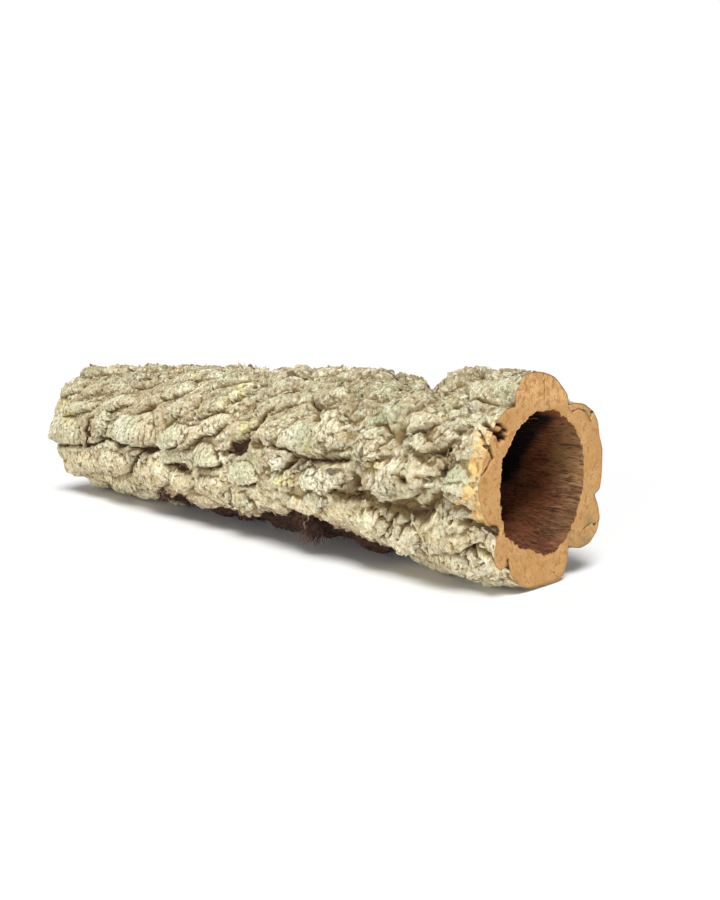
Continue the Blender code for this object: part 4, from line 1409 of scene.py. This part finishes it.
@dataclass
class Litter:
    """The loose flakes, crumbs and fibres on the tube.

    Attributes:
        tube: The tube that they sit on.
        flake_count: How many flakes of crust there are.
        crumb_count: How many crumbs.
        edge_count: How many fibres hang from the torn edge.
        root_count: How many fibres the hanging tangles have.
        inner_count: How many fibres lie in the hollow.
        lowest: How low flakes and crumbs may sit, in millimetres as the next three.
        highest: How high.
        end_reach: How far from the middle along the tube.
        side_reach: How far to the side.
        tangle: Where a thick tangle hangs, as (back, round, reach back, reach round in degrees).
        wisp: Where a thin one does, the same way.
    """

    tube: CorkTube
    flake_count: int = 3600
    crumb_count: int = 4200
    edge_count: int = 760
    root_count: int = 420
    inner_count: int = 640
    lowest: float = 2.5
    highest: float = 118.0
    end_reach: float = 243.0
    side_reach: float = 59.5
    tangle: tuple[float, ...] = (146.0, -39.0, 2.6, 3.5)
    wisp: tuple[float, ...] = (326.0, -47.0, 5.0, 4.0)

    def build(self) -> list[bpy.types.Object]:
        """Lay every kind of loose piece and return them."""
        bark = self.tube.bark
        along, side, height = np.moveaxis(bark.points, 2, 0)
        inside = (np.abs(along) < self.end_reach) & (np.abs(side) < self.side_reach)
        inside = inside & (height > self.lowest) & (height < self.highest)
        whole = inside * (1.0 - bark.marks["torn"])
        edges = whole * (0.15 + bark.marks["line"] + bark.marks["crest"] ** 2)
        crumbly = whole * (0.2 + bark.marks["crust"]) * (0.1 + bark.marks["crest"] ** 2)
        return [self.flakes(Seats.drawn(bark, edges, self.flake_count, Seed.FLAKE_SEATS).with_less_crevice_darkening()),
                self.crumbs(Seats.drawn(bark, crumbly, self.crumb_count, Seed.CRUMB_SEATS).with_less_crevice_darkening()),
                *self.fringe(), self.inner_fibres()]

    def flakes(self, seats: Seats) -> bpy.types.Object:
        """Set small thin flakes of crust on the bark, their lower edges lifted."""
        count = len(seats.points)
        draws = np.random.RandomState(Seed.FLAKES)
        shape = bmesh.new()
        bmesh.ops.create_circle(shape, cap_ends=True, segments=7, radius=1.0)
        top = bmesh.ops.extrude_face_region(shape, geom=list(shape.faces))
        bmesh.ops.translate(shape, vec=(0.0, 0.0, 1.0),
                            verts=[item for item in top["geom"] if isinstance(item, bmesh.types.BMVert)])
        bmesh.ops.recalc_face_normals(shape, faces=shape.faces)
        swarm = Swarm(shape, count)
        local = swarm.local
        ragged = 1.0 + 0.3 * draws.uniform(-1, 1, size=(count, local.shape[1] // 2))
        local[:, :, :2] *= np.concatenate([ragged, ragged * 0.82], axis=1)[:, :, None]
        size = np.stack([draws.uniform(low, high, count)
                         for low, high in ((1.1, 3.4), (0.9, 2.0), (0.35, 0.8))], axis=1)
        local *= size[:, None, :]
        local[:, :, 2] -= 0.06 * local[:, :, 0] ** 2 + 0.1 * local[:, :, 1] ** 2 + 0.25
        along = turn_about(seats.up, seats.along, draws.normal(0.35, 0.5, count))
        across = np.cross(seats.up, along)
        uphill = np.where(across[:, 2] < 0.0, -1.0, 1.0)[:, None]
        along, across = along * uphill, across * uphill
        tipped = turn_about(along, across, -draws.uniform(0.1, 0.5, count))
        return swarm.set_down("bark_flakes", seats, (along, tipped, np.cross(along, tipped)))

    def crumbs(self, seats: Seats) -> bpy.types.Object:
        """Strew small pale crumbs over the crust."""
        count = len(seats.points)
        draws = np.random.RandomState(Seed.LOOSE_CRUMBS)
        shape = bmesh.new()
        bmesh.ops.create_icosphere(shape, subdivisions=1, radius=1.0)
        swarm = Swarm(shape, count)
        swarm.local *= draws.uniform(0.7, 1.25, size=(count, swarm.local.shape[1], 1))
        size = draws.uniform(0.35, 0.95, size=(count, 1)) * draws.uniform(0.7, 1.4, size=(count, 3))
        swarm.local *= size[:, None, :] * (1.0, 1.0, 0.75)
        along = turn_about(seats.up, seats.along, draws.uniform(0, 2 * math.pi, count))
        # A higher crest makes the crumbs pale through the crests' coat, which is partly painted highlight.
        seats.marks["crest"] = np.clip(seats.marks["crest"] + draws.uniform(0.1, 0.5, count), 0.0, 1.0)
        return swarm.set_down("lichen_crumbs", seats, (along, np.cross(seats.up, along), seats.up))

    def fringe(self) -> list[bpy.types.Object]:
        """Hang root fibres from the torn lower edge, with one thick tangle that reaches the floor."""
        bark, count = self.tube.bark, self.edge_count
        around = turned(bark.around)
        draws = np.random.RandomState(Seed.FRINGE)
        torn = bark.marks["torn"] * (bark.points[:, :, 2] > 3.0) * eased(around, -74.0, -58.0)
        edge = Seats.drawn(bark, torn, count, Seed.EDGE_SEATS)
        heading = unit(0.7 * edge.up + draws.normal(0, 0.5, size=(count, 3)) + (0.0, -0.1, -0.5))
        length, thickness = draws.uniform(2.0, 8.5, count), draws.uniform(0.12, 0.34, count)
        fibres = Fibres("edge_fibres", 0.35, Seed.EDGE_FIBRES).grown(
            edge.points - edge.up, heading, length, thickness)
        count = self.root_count
        thick, thin = (np.exp(-((bark.back - back) / along) ** 2 - ((around - turn) / across) ** 2)
                       for back, turn, along, across in (self.tangle, self.wisp))
        root = Seats.drawn(bark, thick + 0.12 * thin, count, Seed.ROOT_SEATS)
        heading = unit(draws.normal(0, 0.2, size=(count, 3)) + (0.04, -0.12, -1.0))
        length = draws.uniform(3.0, 20.0, count) * np.where(root.points[:, 0] < 0.0, 0.3, 1.0)
        thickness = draws.uniform(0.25, 0.75, count)
        return [fibres, Fibres("root_tangle", 0.2, Seed.ROOTS).grown(
            root.points - root.up, heading, length, thickness)]

    def inner_fibres(self) -> bpy.types.Object:
        """Lay loose fibres along the hollow's wall, mostly near its mouth."""
        hollow, count = self.tube.hollow, self.inner_count
        draws = np.random.RandomState(Seed.INNER)
        inside = (hollow.back < LENGTH - 20.0) * (0.05 + np.exp(-hollow.back / 45.0))
        seats = Seats.drawn(hollow, inside, count, Seed.INNER_SEATS)
        seats.points[:, 0] = np.minimum(seats.points[:, 0], LENGTH / 2 - 1.0)
        inwards = -seats.along * np.sign(seats.along[:, :1])
        heading = unit(draws.normal(0, 0.09, size=(count, 3)) + inwards)
        length = draws.uniform(4.0, 18.0, count)
        lifted = seats.points - seats.up * draws.uniform(0.0, 0.5, count)[:, None]
        return Fibres("inner_fibres", 0.05, Seed.INNER_FIBRES).grown(
            lifted, heading, length, draws.uniform(0.12, 0.3, count))


Colour = tuple[float, float, float]

# Scales that draw a pattern out along the tube, and round it.
LENGTHWISE = (0.2, 1.0, 1.0)
ROUNDWISE = (1.0, 0.25, 0.25)


class Bench:
    """Lays out and joins the nodes of one material.

    Attributes:
        material: The material.
        tree: Its nodes and links.
        shader: Its Principled shader.
        place: The object's own coordinates.
    """

    SHINE = 0.25

    def __init__(self, name: str) -> None:
        """Start a material of the given name with a plain Principled shader."""
        self.material = bpy.data.materials.new(name)
        self.material.use_nodes = True
        self.tree = self.material.node_tree
        self.shader = self.tree.nodes["Principled BSDF"]
        self.place = self.tree.nodes.new("ShaderNodeTexCoord").outputs["Object"]

    def put(self, socket: bpy.types.NodeSocket, value: object) -> None:
        """Set a socket to a number or a colour, or link another node's socket to it.

        Args:
            socket: The socket of a node's input.
            value: What goes into it.
        """
        if isinstance(value, bpy.types.NodeSocket):
            self.tree.links.new(value, socket)
        elif socket.type == "RGBA":
            socket.default_value = (*value, 1.0)
        else:
            socket.default_value = value

    def node(self, kind: str, output: str, inputs: dict[str | int, object],
             **settings: object) -> bpy.types.NodeSocket:
        """Add a node.

        Args:
            kind: Its type, as the word after ShaderNode.
            output: The name of the output that is wanted.
            inputs: What goes into its inputs, by their names or numbers.
            settings: Its own properties.

        Returns:
            The output's socket.
        """
        node = self.tree.nodes.new("ShaderNode" + kind)
        for name, value in settings.items():
            setattr(node, name, value)
        for name, value in inputs.items():
            self.put(node.inputs[name], value)
        return node.outputs[output]

    def mark(self, name: str) -> bpy.types.NodeSocket:
        """Return a number that is stored on the mesh's points."""
        return self.node("Attribute", "Fac", {}, attribute_name=name)

    def noise(self, size: float, detail: float = 3.0, rough: float = 0.55,
              stretch: Colour | None = None) -> bpy.types.NodeSocket:
        """Return noise from 0 to 1.

        Args:
            size: About how wide its lumps are, in millimetres.
            detail: How many finer noises are laid over it.
            rough: How strong those are.
            stretch: The scale of the three directions, where it isn't the same in all.

        Returns:
            The noise's socket.
        """
        place = self.place
        if stretch is not None:
            place = self.node("Mapping", "Vector", {"Vector": self.place, "Scale": stretch})
        return self.node("TexNoise", "Fac", {"Vector": place, "Scale": 1.0 / (size * MM),
                                             "Detail": detail, "Roughness": rough})

    def cells(self, size: float) -> bpy.types.NodeSocket:
        """Return the distance to the middle of irregular cells of about the given size in millimetres."""
        return self.node("TexVoronoi", "Distance", {"Vector": self.place, "Scale": 1.0 / (size * MM)})

    def ramp(self, value: object, low: float, high: float) -> bpy.types.NodeSocket:
        """Return 0 where a value is below low and 1 above high, with a smooth step between."""
        inputs = {"Value": value, "From Min": low, "From Max": high}
        return self.node("MapRange", "Result", inputs, interpolation_type="SMOOTHSTEP")

    def patches(self, size: float, low: float, high: float, rough: float = 0.7, detail: float = 5.0,
                stretch: Colour | None = None) -> bpy.types.NodeSocket:
        """Return 1 in irregular patches and 0 between them.

        Args:
            size: About how wide the patches are, in millimetres.
            low: Below which noise there is none.
            high: Above which noise they are full.
            rough: How ragged they are.
            detail: How many finer noises their edges have.
            stretch: The scale of the three directions, where it isn't the same in all.

        Returns:
            The patches' socket.
        """
        return self.ramp(self.noise(size, detail, rough, stretch), low, high)

    def sum(self, kind: str, first: object, second: object) -> bpy.types.NodeSocket:
        """Return one sum of two numbers, kept between 0 and 1."""
        return self.node("Math", "Value", {0: first, 1: second}, operation=kind, use_clamp=True)

    def times(self, *factors: object) -> bpy.types.NodeSocket:
        """Return the product of numbers and sockets."""
        product = factors[0]
        for factor in factors[1:]:
            product = self.sum("MULTIPLY", product, factor)
        return product

    def left(self, value: object) -> bpy.types.NodeSocket:
        """Return what is left of 1."""
        return self.sum("SUBTRACT", 1.0, value)

    def blend(self, share: object, first: object, second: object) -> bpy.types.NodeSocket:
        """Return a blend of two colours, with the given share of the second."""
        return self.node("Mix", "Result", {"Factor": share, "A": first, "B": second}, data_type="RGBA")

    def coats(self, colour: object, *coats: tuple[object, ...]) -> bpy.types.NodeSocket:
        """Return a colour with coats laid over it, one after the other.

        Args:
            colour: The colour below them all.
            coats: The tint of each, and the shares whose product says how far it covers.

        Returns:
            The colour on top.
        """
        for tint, *shares in coats:
            colour = self.blend(self.times(*shares), colour, tint)
        return colour

    def bump(self, height: object, depth: float,
             under: bpy.types.NodeSocket | None = None) -> bpy.types.NodeSocket:
        """Return a normal that is disturbed by a height.

        Args:
            height: The height, from 0 to 1.
            depth: How many millimetres that is.
            under: A normal that is already disturbed.

        Returns:
            The normal's socket.
        """
        inputs = {"Distance": depth * MM, "Height": height}
        if under is not None:
            inputs["Normal"] = under
        return self.node("Bump", "Normal", inputs)

    def finish(self, colour: object, roughness: float, normal: bpy.types.NodeSocket) -> bpy.types.Material:
        """Join the finished colour and normal to the shader, and set its roughness.

        Args:
            colour: The colour.
            roughness: The roughness, the same all over.
            normal: The normal.

        Returns:
            The finished material.
        """
        inputs = {"Base Color": colour, "Roughness": roughness, "Normal": normal,
                  "Specular IOR Level": self.SHINE}
        for name, value in inputs.items():
            self.put(self.shader.inputs[name], value)
        return self.material


@dataclass(frozen=True)
class BarkFinish:
    """Dry weathered cork bark with pale lichen and dark crevices."""

    cream: Colour = (0.76, 0.645, 0.41)
    grey: Colour = (0.46, 0.40, 0.27)
    tan: Colour = (0.56, 0.425, 0.24)
    dirty: Colour = (0.33, 0.23, 0.105)
    mint: Colour = (0.52, 0.53, 0.345)
    pale: Colour = (0.93, 0.895, 0.69)
    olive: Colour = (0.47, 0.43, 0.18)
    lemon: Colour = (0.80, 0.72, 0.22)
    white: Colour = (0.97, 0.94, 0.80)
    green: Colour = (0.47, 0.54, 0.35)
    weathered_top_shade: Colour = (0.35, 0.29, 0.17)
    shaded: Colour = (0.32, 0.235, 0.11)
    sunlit: Colour = (0.78, 0.78, 0.57)
    warm: Colour = (0.92, 0.76, 0.45)
    frayed: Colour = (0.33, 0.21, 0.11)
    straw: Colour = (0.80, 0.58, 0.23)
    orange: Colour = (0.62, 0.36, 0.12)
    brown: Colour = (0.225, 0.155, 0.062)
    dark: Colour = (0.05, 0.026, 0.012)
    spot_shade: Colour = (0.115, 0.074, 0.034)
    root: Colour = (0.022, 0.011, 0.009)
    rust: Colour = (0.11, 0.058, 0.036)

    def material(self) -> bpy.types.Material:
        """Return the finish as a material."""
        bench = Bench("cork_bark")
        colour = self.cork(bench)
        colour = self.lichen(bench, colour)
        colour = self.weather_and_shade(bench, colour)
        colour = self.darkening(bench, colour)
        colour = self.broken(bench, colour)
        normal = bench.bump(bench.noise(1.5, 5.0, 0.75), 1.0)
        normal = bench.bump(bench.cells(1.7), 0.3, normal)
        normal = bench.bump(bench.noise(1.6, 4.0, 0.7, ROUNDWISE), 0.7, normal)
        return bench.finish(colour, 1.0, normal)

    def cork(self, bench: Bench) -> bpy.types.NodeSocket:
        """Return the cork's colour in patches, with painted light on the lumps' lit sides and on the
        underside, and painted shade on the lumps' lower sides.
        """
        return bench.coats(
            bench.blend(bench.patches(18.0, 0.2, 0.46, 0.62), self.cream, self.grey),
            (self.tan, bench.ramp(bench.mark("tone"), 0.2, 0.8),
             bench.patches(17.0, 0.36, 0.54, 0.55, 4.0)),
            (self.mint, bench.patches(31.0, 0.46, 0.58, 0.62), 0.85),
            # Painted light on the lumps' lit sides.
            (self.sunlit, bench.mark("sunny"), bench.patches(13.0, 0.42, 0.56, 0.65), 0.45),
            (self.dirty, bench.patches(22.0, 0.54, 0.64, 0.68), 0.55),
            # The underside lighter and warmer: painted light, with its yellower tone.
            (self.warm, bench.mark("lower"), bench.patches(15.0, 0.3, 0.55, 0.65), 0.7),
            # Painted shade on the lumps' lower sides.
            (self.shaded, bench.mark("under"), bench.patches(7.0, 0.3, 0.55), 0.8))

    def lichen(self, bench: Bench, colour: bpy.types.NodeSocket) -> bpy.types.NodeSocket:
        """Return the colour with pale crests and browner ground between them, partly painted highlight and
        shade, and moss, lichen and specks over it.
        """
        crust = bench.mark("crust")
        crest_wear_and_highlight = bench.sum("ADD", bench.mark("crest"), bench.times(bench.noise(5.0, 4.0, 0.65), 0.5))
        spots = [(tint, bench.mark(mark), bench.patches(6.0, 0.3, 0.5), 0.8)
                 for mark, tint in (("mint", self.green), ("lemon", self.lemon), ("white", self.white))]
        return bench.coats(
            colour,
            # Pale crests: pale worn lichen with painted highlight.
            (self.pale, bench.ramp(crest_wear_and_highlight, 0.72, 1.05), bench.sum("ADD", bench.times(crust, 0.4), 0.3)),
            (self.olive, bench.patches(9.0, 0.56, 0.66), 0.8),
            *spots,
            # Browner away from the crests: painted shade.
            (self.brown, bench.sum("SUBTRACT", 0.8, bench.ramp(crest_wear_and_highlight, 0.35, 0.7))),
            (self.pale, bench.patches(3.0, 0.52, 0.6, 0.75, 4.0),
             bench.sum("ADD", bench.times(crust, 0.45), 0.36)))

    def weather_and_shade(self, bench: Bench, colour: bpy.types.NodeSocket) -> bpy.types.NodeSocket:
        """Return the colour darker round the hollows, the top darkened as weathering and painted shade, low
        places browner as painted shade, and the far end gone grey.
        """
        upper = bench.mark("upper")
        return bench.coats(
            colour,
            # Darker round the hollows.
            (self.dirty, bench.mark("darkening"), bench.patches(6.0, 0.38, 0.56), 0.85),
            # The top darkened: weathered grey, and painted shade against the light from above.
            (self.weathered_top_shade, upper, bench.patches(12.0, 0.44, 0.54, 0.66), 0.85),
            (self.grey, bench.mark("far"), 0.22),
            # Painted shade: low places between the lumps go brown.
            (self.brown, bench.left(bench.ramp(bench.mark("broad"), 0.12, 0.52)), 0.68),
            (self.brown, bench.left(bench.patches(2.4, 0.36, 0.54, 0.75)),
             bench.sum("ADD", bench.times(upper, 0.25), 0.48)),
            (self.pale, bench.patches(2.0, 0.54, 0.6, 0.75, 4.0), upper, 0.6))

    def darkening(self, bench: Bench, colour: bpy.types.NodeSocket) -> bpy.types.NodeSocket:
        """Return the colour with its lines, threads, crevices, torn hem and spots darkened. This is painted
        shade in the spots, and partly painted shade in the lines and crevices.
        """
        crevice = bench.mark("crevice")
        ragged = bench.sum("SUBTRACT", bench.mark("spot_shade"), bench.times(bench.noise(4.0, 5.0, 0.7), 0.6))
        return bench.coats(
            colour,
            # Painted shade in the rib grooves and under the layers' edges.
            (self.brown, bench.ramp(bench.mark("line"), 0.15, 0.9), 0.8),
            (self.brown, bench.patches(1.6, 0.52, 0.66, 0.7, 4.0, ROUNDWISE), 0.5),
            # Painted shade with dark cork in the crevices.
            (self.brown, bench.ramp(crevice, 0.12, 0.55)),
            (self.dark, bench.ramp(crevice, 0.5, 0.95)),
            (self.frayed, bench.mark("hem"),
             bench.patches(2.2, 0.36, 0.56, 0.7, 4.0, (0.3, 1.0, 1.0)), 0.9),
            # Painted shade: dark brown spots in pits and slits and between the lumps.
            (self.spot_shade, bench.ramp(ragged, 0.12, 0.5), 0.8))

    def broken(self, bench: Bench, colour: bpy.types.NodeSocket) -> bpy.types.NodeSocket:
        """Return the colour with the bare inner layer by the saw cut and the torn underside, whose dark
        colour runs on below the tear as painted shade.
        """
        shell = bench.blend(bench.patches(5.0, 0.42, 0.56, 0.65, 4.0), self.straw, self.orange)
        torn = bench.blend(bench.patches(2.0, 0.4, 0.62, 0.7, 4.0, LENGTHWISE), self.root, self.rust)
        return bench.coats(
            colour,
            (shell, bench.mark("bare"), bench.patches(6.0, 0.4, 0.5, 0.75), 0.9),
            # Dark torn fibres, and below the tear painted shade.
            (torn, bench.mark("torn")))


@dataclass(frozen=True)
class SawnFinish:
    """Fresh orange-tan cork where the saw went through."""

    tan: Colour = (0.515, 0.277, 0.095)
    deep: Colour = (0.40, 0.184, 0.055)
    light: Colour = (0.60, 0.36, 0.145)
    pale: Colour = (0.78, 0.48, 0.21)
    pore: Colour = (0.20, 0.085, 0.035)
    rim: Colour = (0.33, 0.18, 0.09)
    split: Colour = (0.06, 0.025, 0.012)
    olive: Colour = (0.25, 0.19, 0.075)

    def material(self) -> bpy.types.Material:
        """Return the finish as a material."""
        bench = Bench("sawn_cork")
        inward = bench.mark("inward")
        colour = bench.coats(
            bench.blend(bench.patches(9.0, 0.35, 0.65, 0.55, 4.0), self.tan, self.light),
            (self.deep, self.rings(bench, inward), bench.noise(12.0), 0.25),
            # Painted light: the upper part of the face is paler.
            (self.pale, bench.mark("pale"), bench.patches(5.0, 0.4, 0.55), 0.75),
            (self.light, bench.patches(2.6, 0.44, 0.6, 0.75, 4.0), 0.55),
            (self.deep, bench.patches(4.5, 0.5, 0.62, 0.75), 0.85),
            (self.deep, bench.patches(1.3, 0.52, 0.64, 0.75, 4.0), 0.75),
            (self.pore, bench.patches(1.5, 0.64, 0.74, 0.65, 3.0), 0.85),
            (self.rim, bench.left(bench.ramp(inward, 0.1, 1.1)), 0.6),
            (self.olive, bench.mark("stain"), bench.patches(4.0, 0.38, 0.56), 0.8),
            (self.split, bench.mark("slit")))
        return bench.finish(colour, 0.9, bench.bump(bench.noise(0.9, 4.0, 0.7), 0.3))

    def rings(self, bench: Bench, inward: bpy.types.NodeSocket) -> bpy.types.NodeSocket:
        """Return the faint growth rings, which waver a little."""
        inputs = {0: inward, 1: 2.4, 2: bench.noise(6.0)}
        wave = bench.node("Math", "Value", inputs, operation="MULTIPLY_ADD")
        return bench.ramp(bench.node("Math", "Value", {0: wave}, operation="SINE"), 0.2, 1.0)


@dataclass(frozen=True)
class HollowFinish:
    """The dark fibrous inner bark that lines the hollow, with painted highlights on its fibres, painted
    shade in its grooves, painted light low down deeper in, and a painted shadow deep inside.
    """

    brown: Colour = (0.235, 0.082, 0.03)
    red: Colour = (0.28, 0.084, 0.033)
    light: Colour = (0.34, 0.16, 0.065)
    dark: Colour = (0.040, 0.012, 0.007)
    olive: Colour = (0.34, 0.20, 0.085)
    painted_light_red: Colour = (0.42, 0.15, 0.06)
    black: Colour = (0.008, 0.005, 0.004)

    def material(self) -> bpy.types.Material:
        """Return the finish as a material."""
        bench = Bench("inner_bark")
        ridge = bench.mark("ridge")
        colour = bench.coats(
            bench.blend(bench.patches(12.0, 0.4, 0.6, 0.55, 3.0), self.brown, self.red),
            # Olive-grey on the wall by the mouth that faces the front.
            (self.olive, bench.mark("olive_mouth"), bench.patches(14.0, 0.25, 0.5, 0.55, 4.0)),
            # Painted light: the lower wall deeper in is lightened where little light reaches it.
            (self.painted_light_red, bench.mark("deep"), 0.8),
            (self.dark, bench.mark("shallow"), 0.6),
            (self.dark, bench.patches(0.9, 0.46, 0.64, 0.7, 4.0, LENGTHWISE), 0.8),
            # Painted highlights: glints along the fibres and on the ridges.
            (self.light, bench.patches(0.8, 0.5, 0.68, 0.7, 3.0, (0.14, 1.0, 1.0)), 0.7),
            (self.light, bench.ramp(ridge, 0.6, 1.0), 0.3),
            # Painted shade in the grooves between the ridges.
            (self.dark, bench.sum("SUBTRACT", 0.6, bench.ramp(ridge, 0.0, 0.35))),
            # Painted shadow: black where the rim shades the wall deep inside.
            (self.black, bench.mark("black"), 0.97))
        return bench.finish(colour, 0.85, bench.bump(bench.noise(1.0, 4.0, 0.7, (0.09, 1.0, 1.0)), 1.1))


@dataclass(frozen=True)
class RootFinish:
    """Dark dry root fibre, some of it bleached."""

    dark: Colour = (0.045, 0.022, 0.018)
    rust: Colour = (0.115, 0.056, 0.038)
    bleached: Colour = (0.33, 0.23, 0.15)

    def material(self) -> bpy.types.Material:
        """Return the finish as a material."""
        bench = Bench("root_fibre")
        colour = bench.coats(
            bench.blend(bench.patches(5.0, 0.4, 0.62, 0.55, 3.0), self.dark, self.rust),
            (self.bleached, bench.ramp(bench.mark("bleached"), 0.84, 1.0)))
        return bench.finish(colour, 0.85, bench.bump(bench.noise(0.8), 0.2))


@dataclass(frozen=True)
class FloorFinish:
    """The plain pale floor."""

    white: Colour = (0.795, 0.795, 0.795)

    def material(self) -> bpy.types.Material:
        """Return the finish as a material."""
        bench = Bench("pale_floor")
        bench.put(bench.shader.inputs["Base Color"], self.white)
        bench.put(bench.shader.inputs["Roughness"], 0.9)
        return bench.material


@dataclass(frozen=True)
class BackdropFinish:
    """The plain white room behind the floor, which shines by itself."""

    black: Colour = (0.0, 0.0, 0.0)
    white: Colour = (1.0, 1.0, 1.0)

    def material(self) -> bpy.types.Material:
        """Return the finish as a material."""
        bench = Bench("white_backdrop")
        bench.put(bench.shader.inputs["Base Color"], self.black)
        bench.put(bench.shader.inputs["Emission Color"], self.white)
        bench.put(bench.shader.inputs["Emission Strength"], 1.0)
        return bench.material


@dataclass(frozen=True)
class Lamp:
    """A distant soft light.

    Attributes:
        name: What it is called.
        side: The direction it shines from.
        strength: How bright it is.
        width: How wide it looks, in degrees.
    """

    name: str
    side: tuple[float, float, float]
    strength: float
    width: float

    def hang(self) -> None:
        """Put the light in the scene."""
        data = bpy.data.lights.new(self.name, "SUN")
        data.energy = self.strength
        data.angle = math.radians(self.width)
        lamp = bpy.data.objects.new(self.name, data)
        lamp.location = self.side
        lamp.rotation_euler = Vector(self.side).to_track_quat("Z", "Y").to_euler()
        bpy.context.collection.objects.link(lamp)


@dataclass
class Studio:
    """The floor, the lights, the backdrop and the camera.

    Attributes:
        camera_spot: Where the camera stands.
        camera_turn: How far it is turned about the upright, in degrees.
        camera_dip: How far it looks down, in degrees.
        lens: Its focal length, in millimetres.
        lamps: The lamps.
        room_light: How bright the even light of the room is.
        floor_reach: Half the floor's width.
        room_reach: How far away the backdrop is.
    """

    camera_spot: tuple[float, float, float] = (0.5043, -0.3866, 0.1286)
    camera_turn: float = 46.04
    camera_dip: float = 6.61
    lens: float = 34.0
    lamps: tuple[Lamp, ...] = (Lamp("high_light", (0.35, -0.34, 0.87), 3.5, 25.0),
                               Lamp("front_light", (0.16, -0.98, 0.03), 3.0, 28.0))
    room_light: float = 0.31
    floor_reach: float = 14.0
    room_reach: float = 24.0

    def build(self) -> None:
        """Set up the whole studio."""
        self.floor()
        self.camera()
        self.sky()
        for lamp in self.lamps:
            lamp.hang()
        self.backdrop()

    def staged(self, name: str, shape: bmesh.types.BMesh, finish: bpy.types.Material) -> bpy.types.Object:
        """Make a shape a piece of the stage.

        Args:
            name: The piece's name.
            shape: The shape, which is freed.
            finish: Its material.

        Returns:
            The piece.
        """
        data = bpy.data.meshes.new(name)
        shape.to_mesh(data)
        shape.free()
        data.materials.append(finish)
        piece = shown(name, data)
        return piece

    def floor(self) -> None:
        """Lay a wide floor."""
        shape = bmesh.new()
        bmesh.ops.create_grid(shape, x_segments=2, y_segments=2, size=self.floor_reach)
        self.staged("floor", shape, FloorFinish().material())

    def camera(self) -> None:
        """Stand the camera low in front of the open end, a little above the tube."""
        data = bpy.data.cameras.new("camera")
        data.lens = self.lens
        data.sensor_width = 36.0
        data.clip_start = 0.01
        camera = bpy.data.objects.new("camera", data)
        camera.location = self.camera_spot
        camera.rotation_euler = (math.radians(90.0 - self.camera_dip), 0.0, math.radians(self.camera_turn))
        bpy.context.collection.objects.link(camera)
        bpy.context.scene.camera = camera

    def sky(self) -> None:
        """Fill the room with even pale light."""
        world = bpy.data.worlds.new("studio")
        world.use_nodes = True
        background = world.node_tree.nodes["Background"]
        background.inputs["Color"].default_value = (1.0, 1.0, 1.0, 1.0)
        background.inputs["Strength"].default_value = self.room_light
        bpy.context.scene.world = world
        bpy.context.scene.view_settings.view_transform = "Standard"

    def backdrop(self) -> None:
        """Put a plain white room round everything, which the lights pass through."""
        shape = bmesh.new()
        bmesh.ops.create_uvsphere(shape, u_segments=48, v_segments=24, radius=self.room_reach)
        bmesh.ops.reverse_faces(shape, faces=shape.faces)
        backdrop = self.staged("backdrop", shape, BackdropFinish().material())
        backdrop.visible_diffuse = False
        backdrop.visible_glossy = False
        backdrop.visible_shadow = False


def main() -> None:
    """Build the cork branch and its studio, and dress it."""
    logging.basicConfig(level=logging.INFO, format="%(message)s")
    Studio().build()
    tube = CorkTube(Grain())
    pieces = tube.build() + Litter(tube).build()
    bark, sawn = BarkFinish().material(), SawnFinish().material()
    hollow, root = HollowFinish().material(), RootFinish().material()
    finishes = {"sawn_face_near": sawn, "sawn_face_far": sawn, "hollow_wall": hollow,
                "edge_fibres": root, "root_tangle": root, "inner_fibres": root}
    for piece in pieces:
        piece.data.materials.append(finishes.get(piece.name, bark))
        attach(piece, "root")
    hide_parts("cork_tube")


if __name__ == "__main__":
    main()
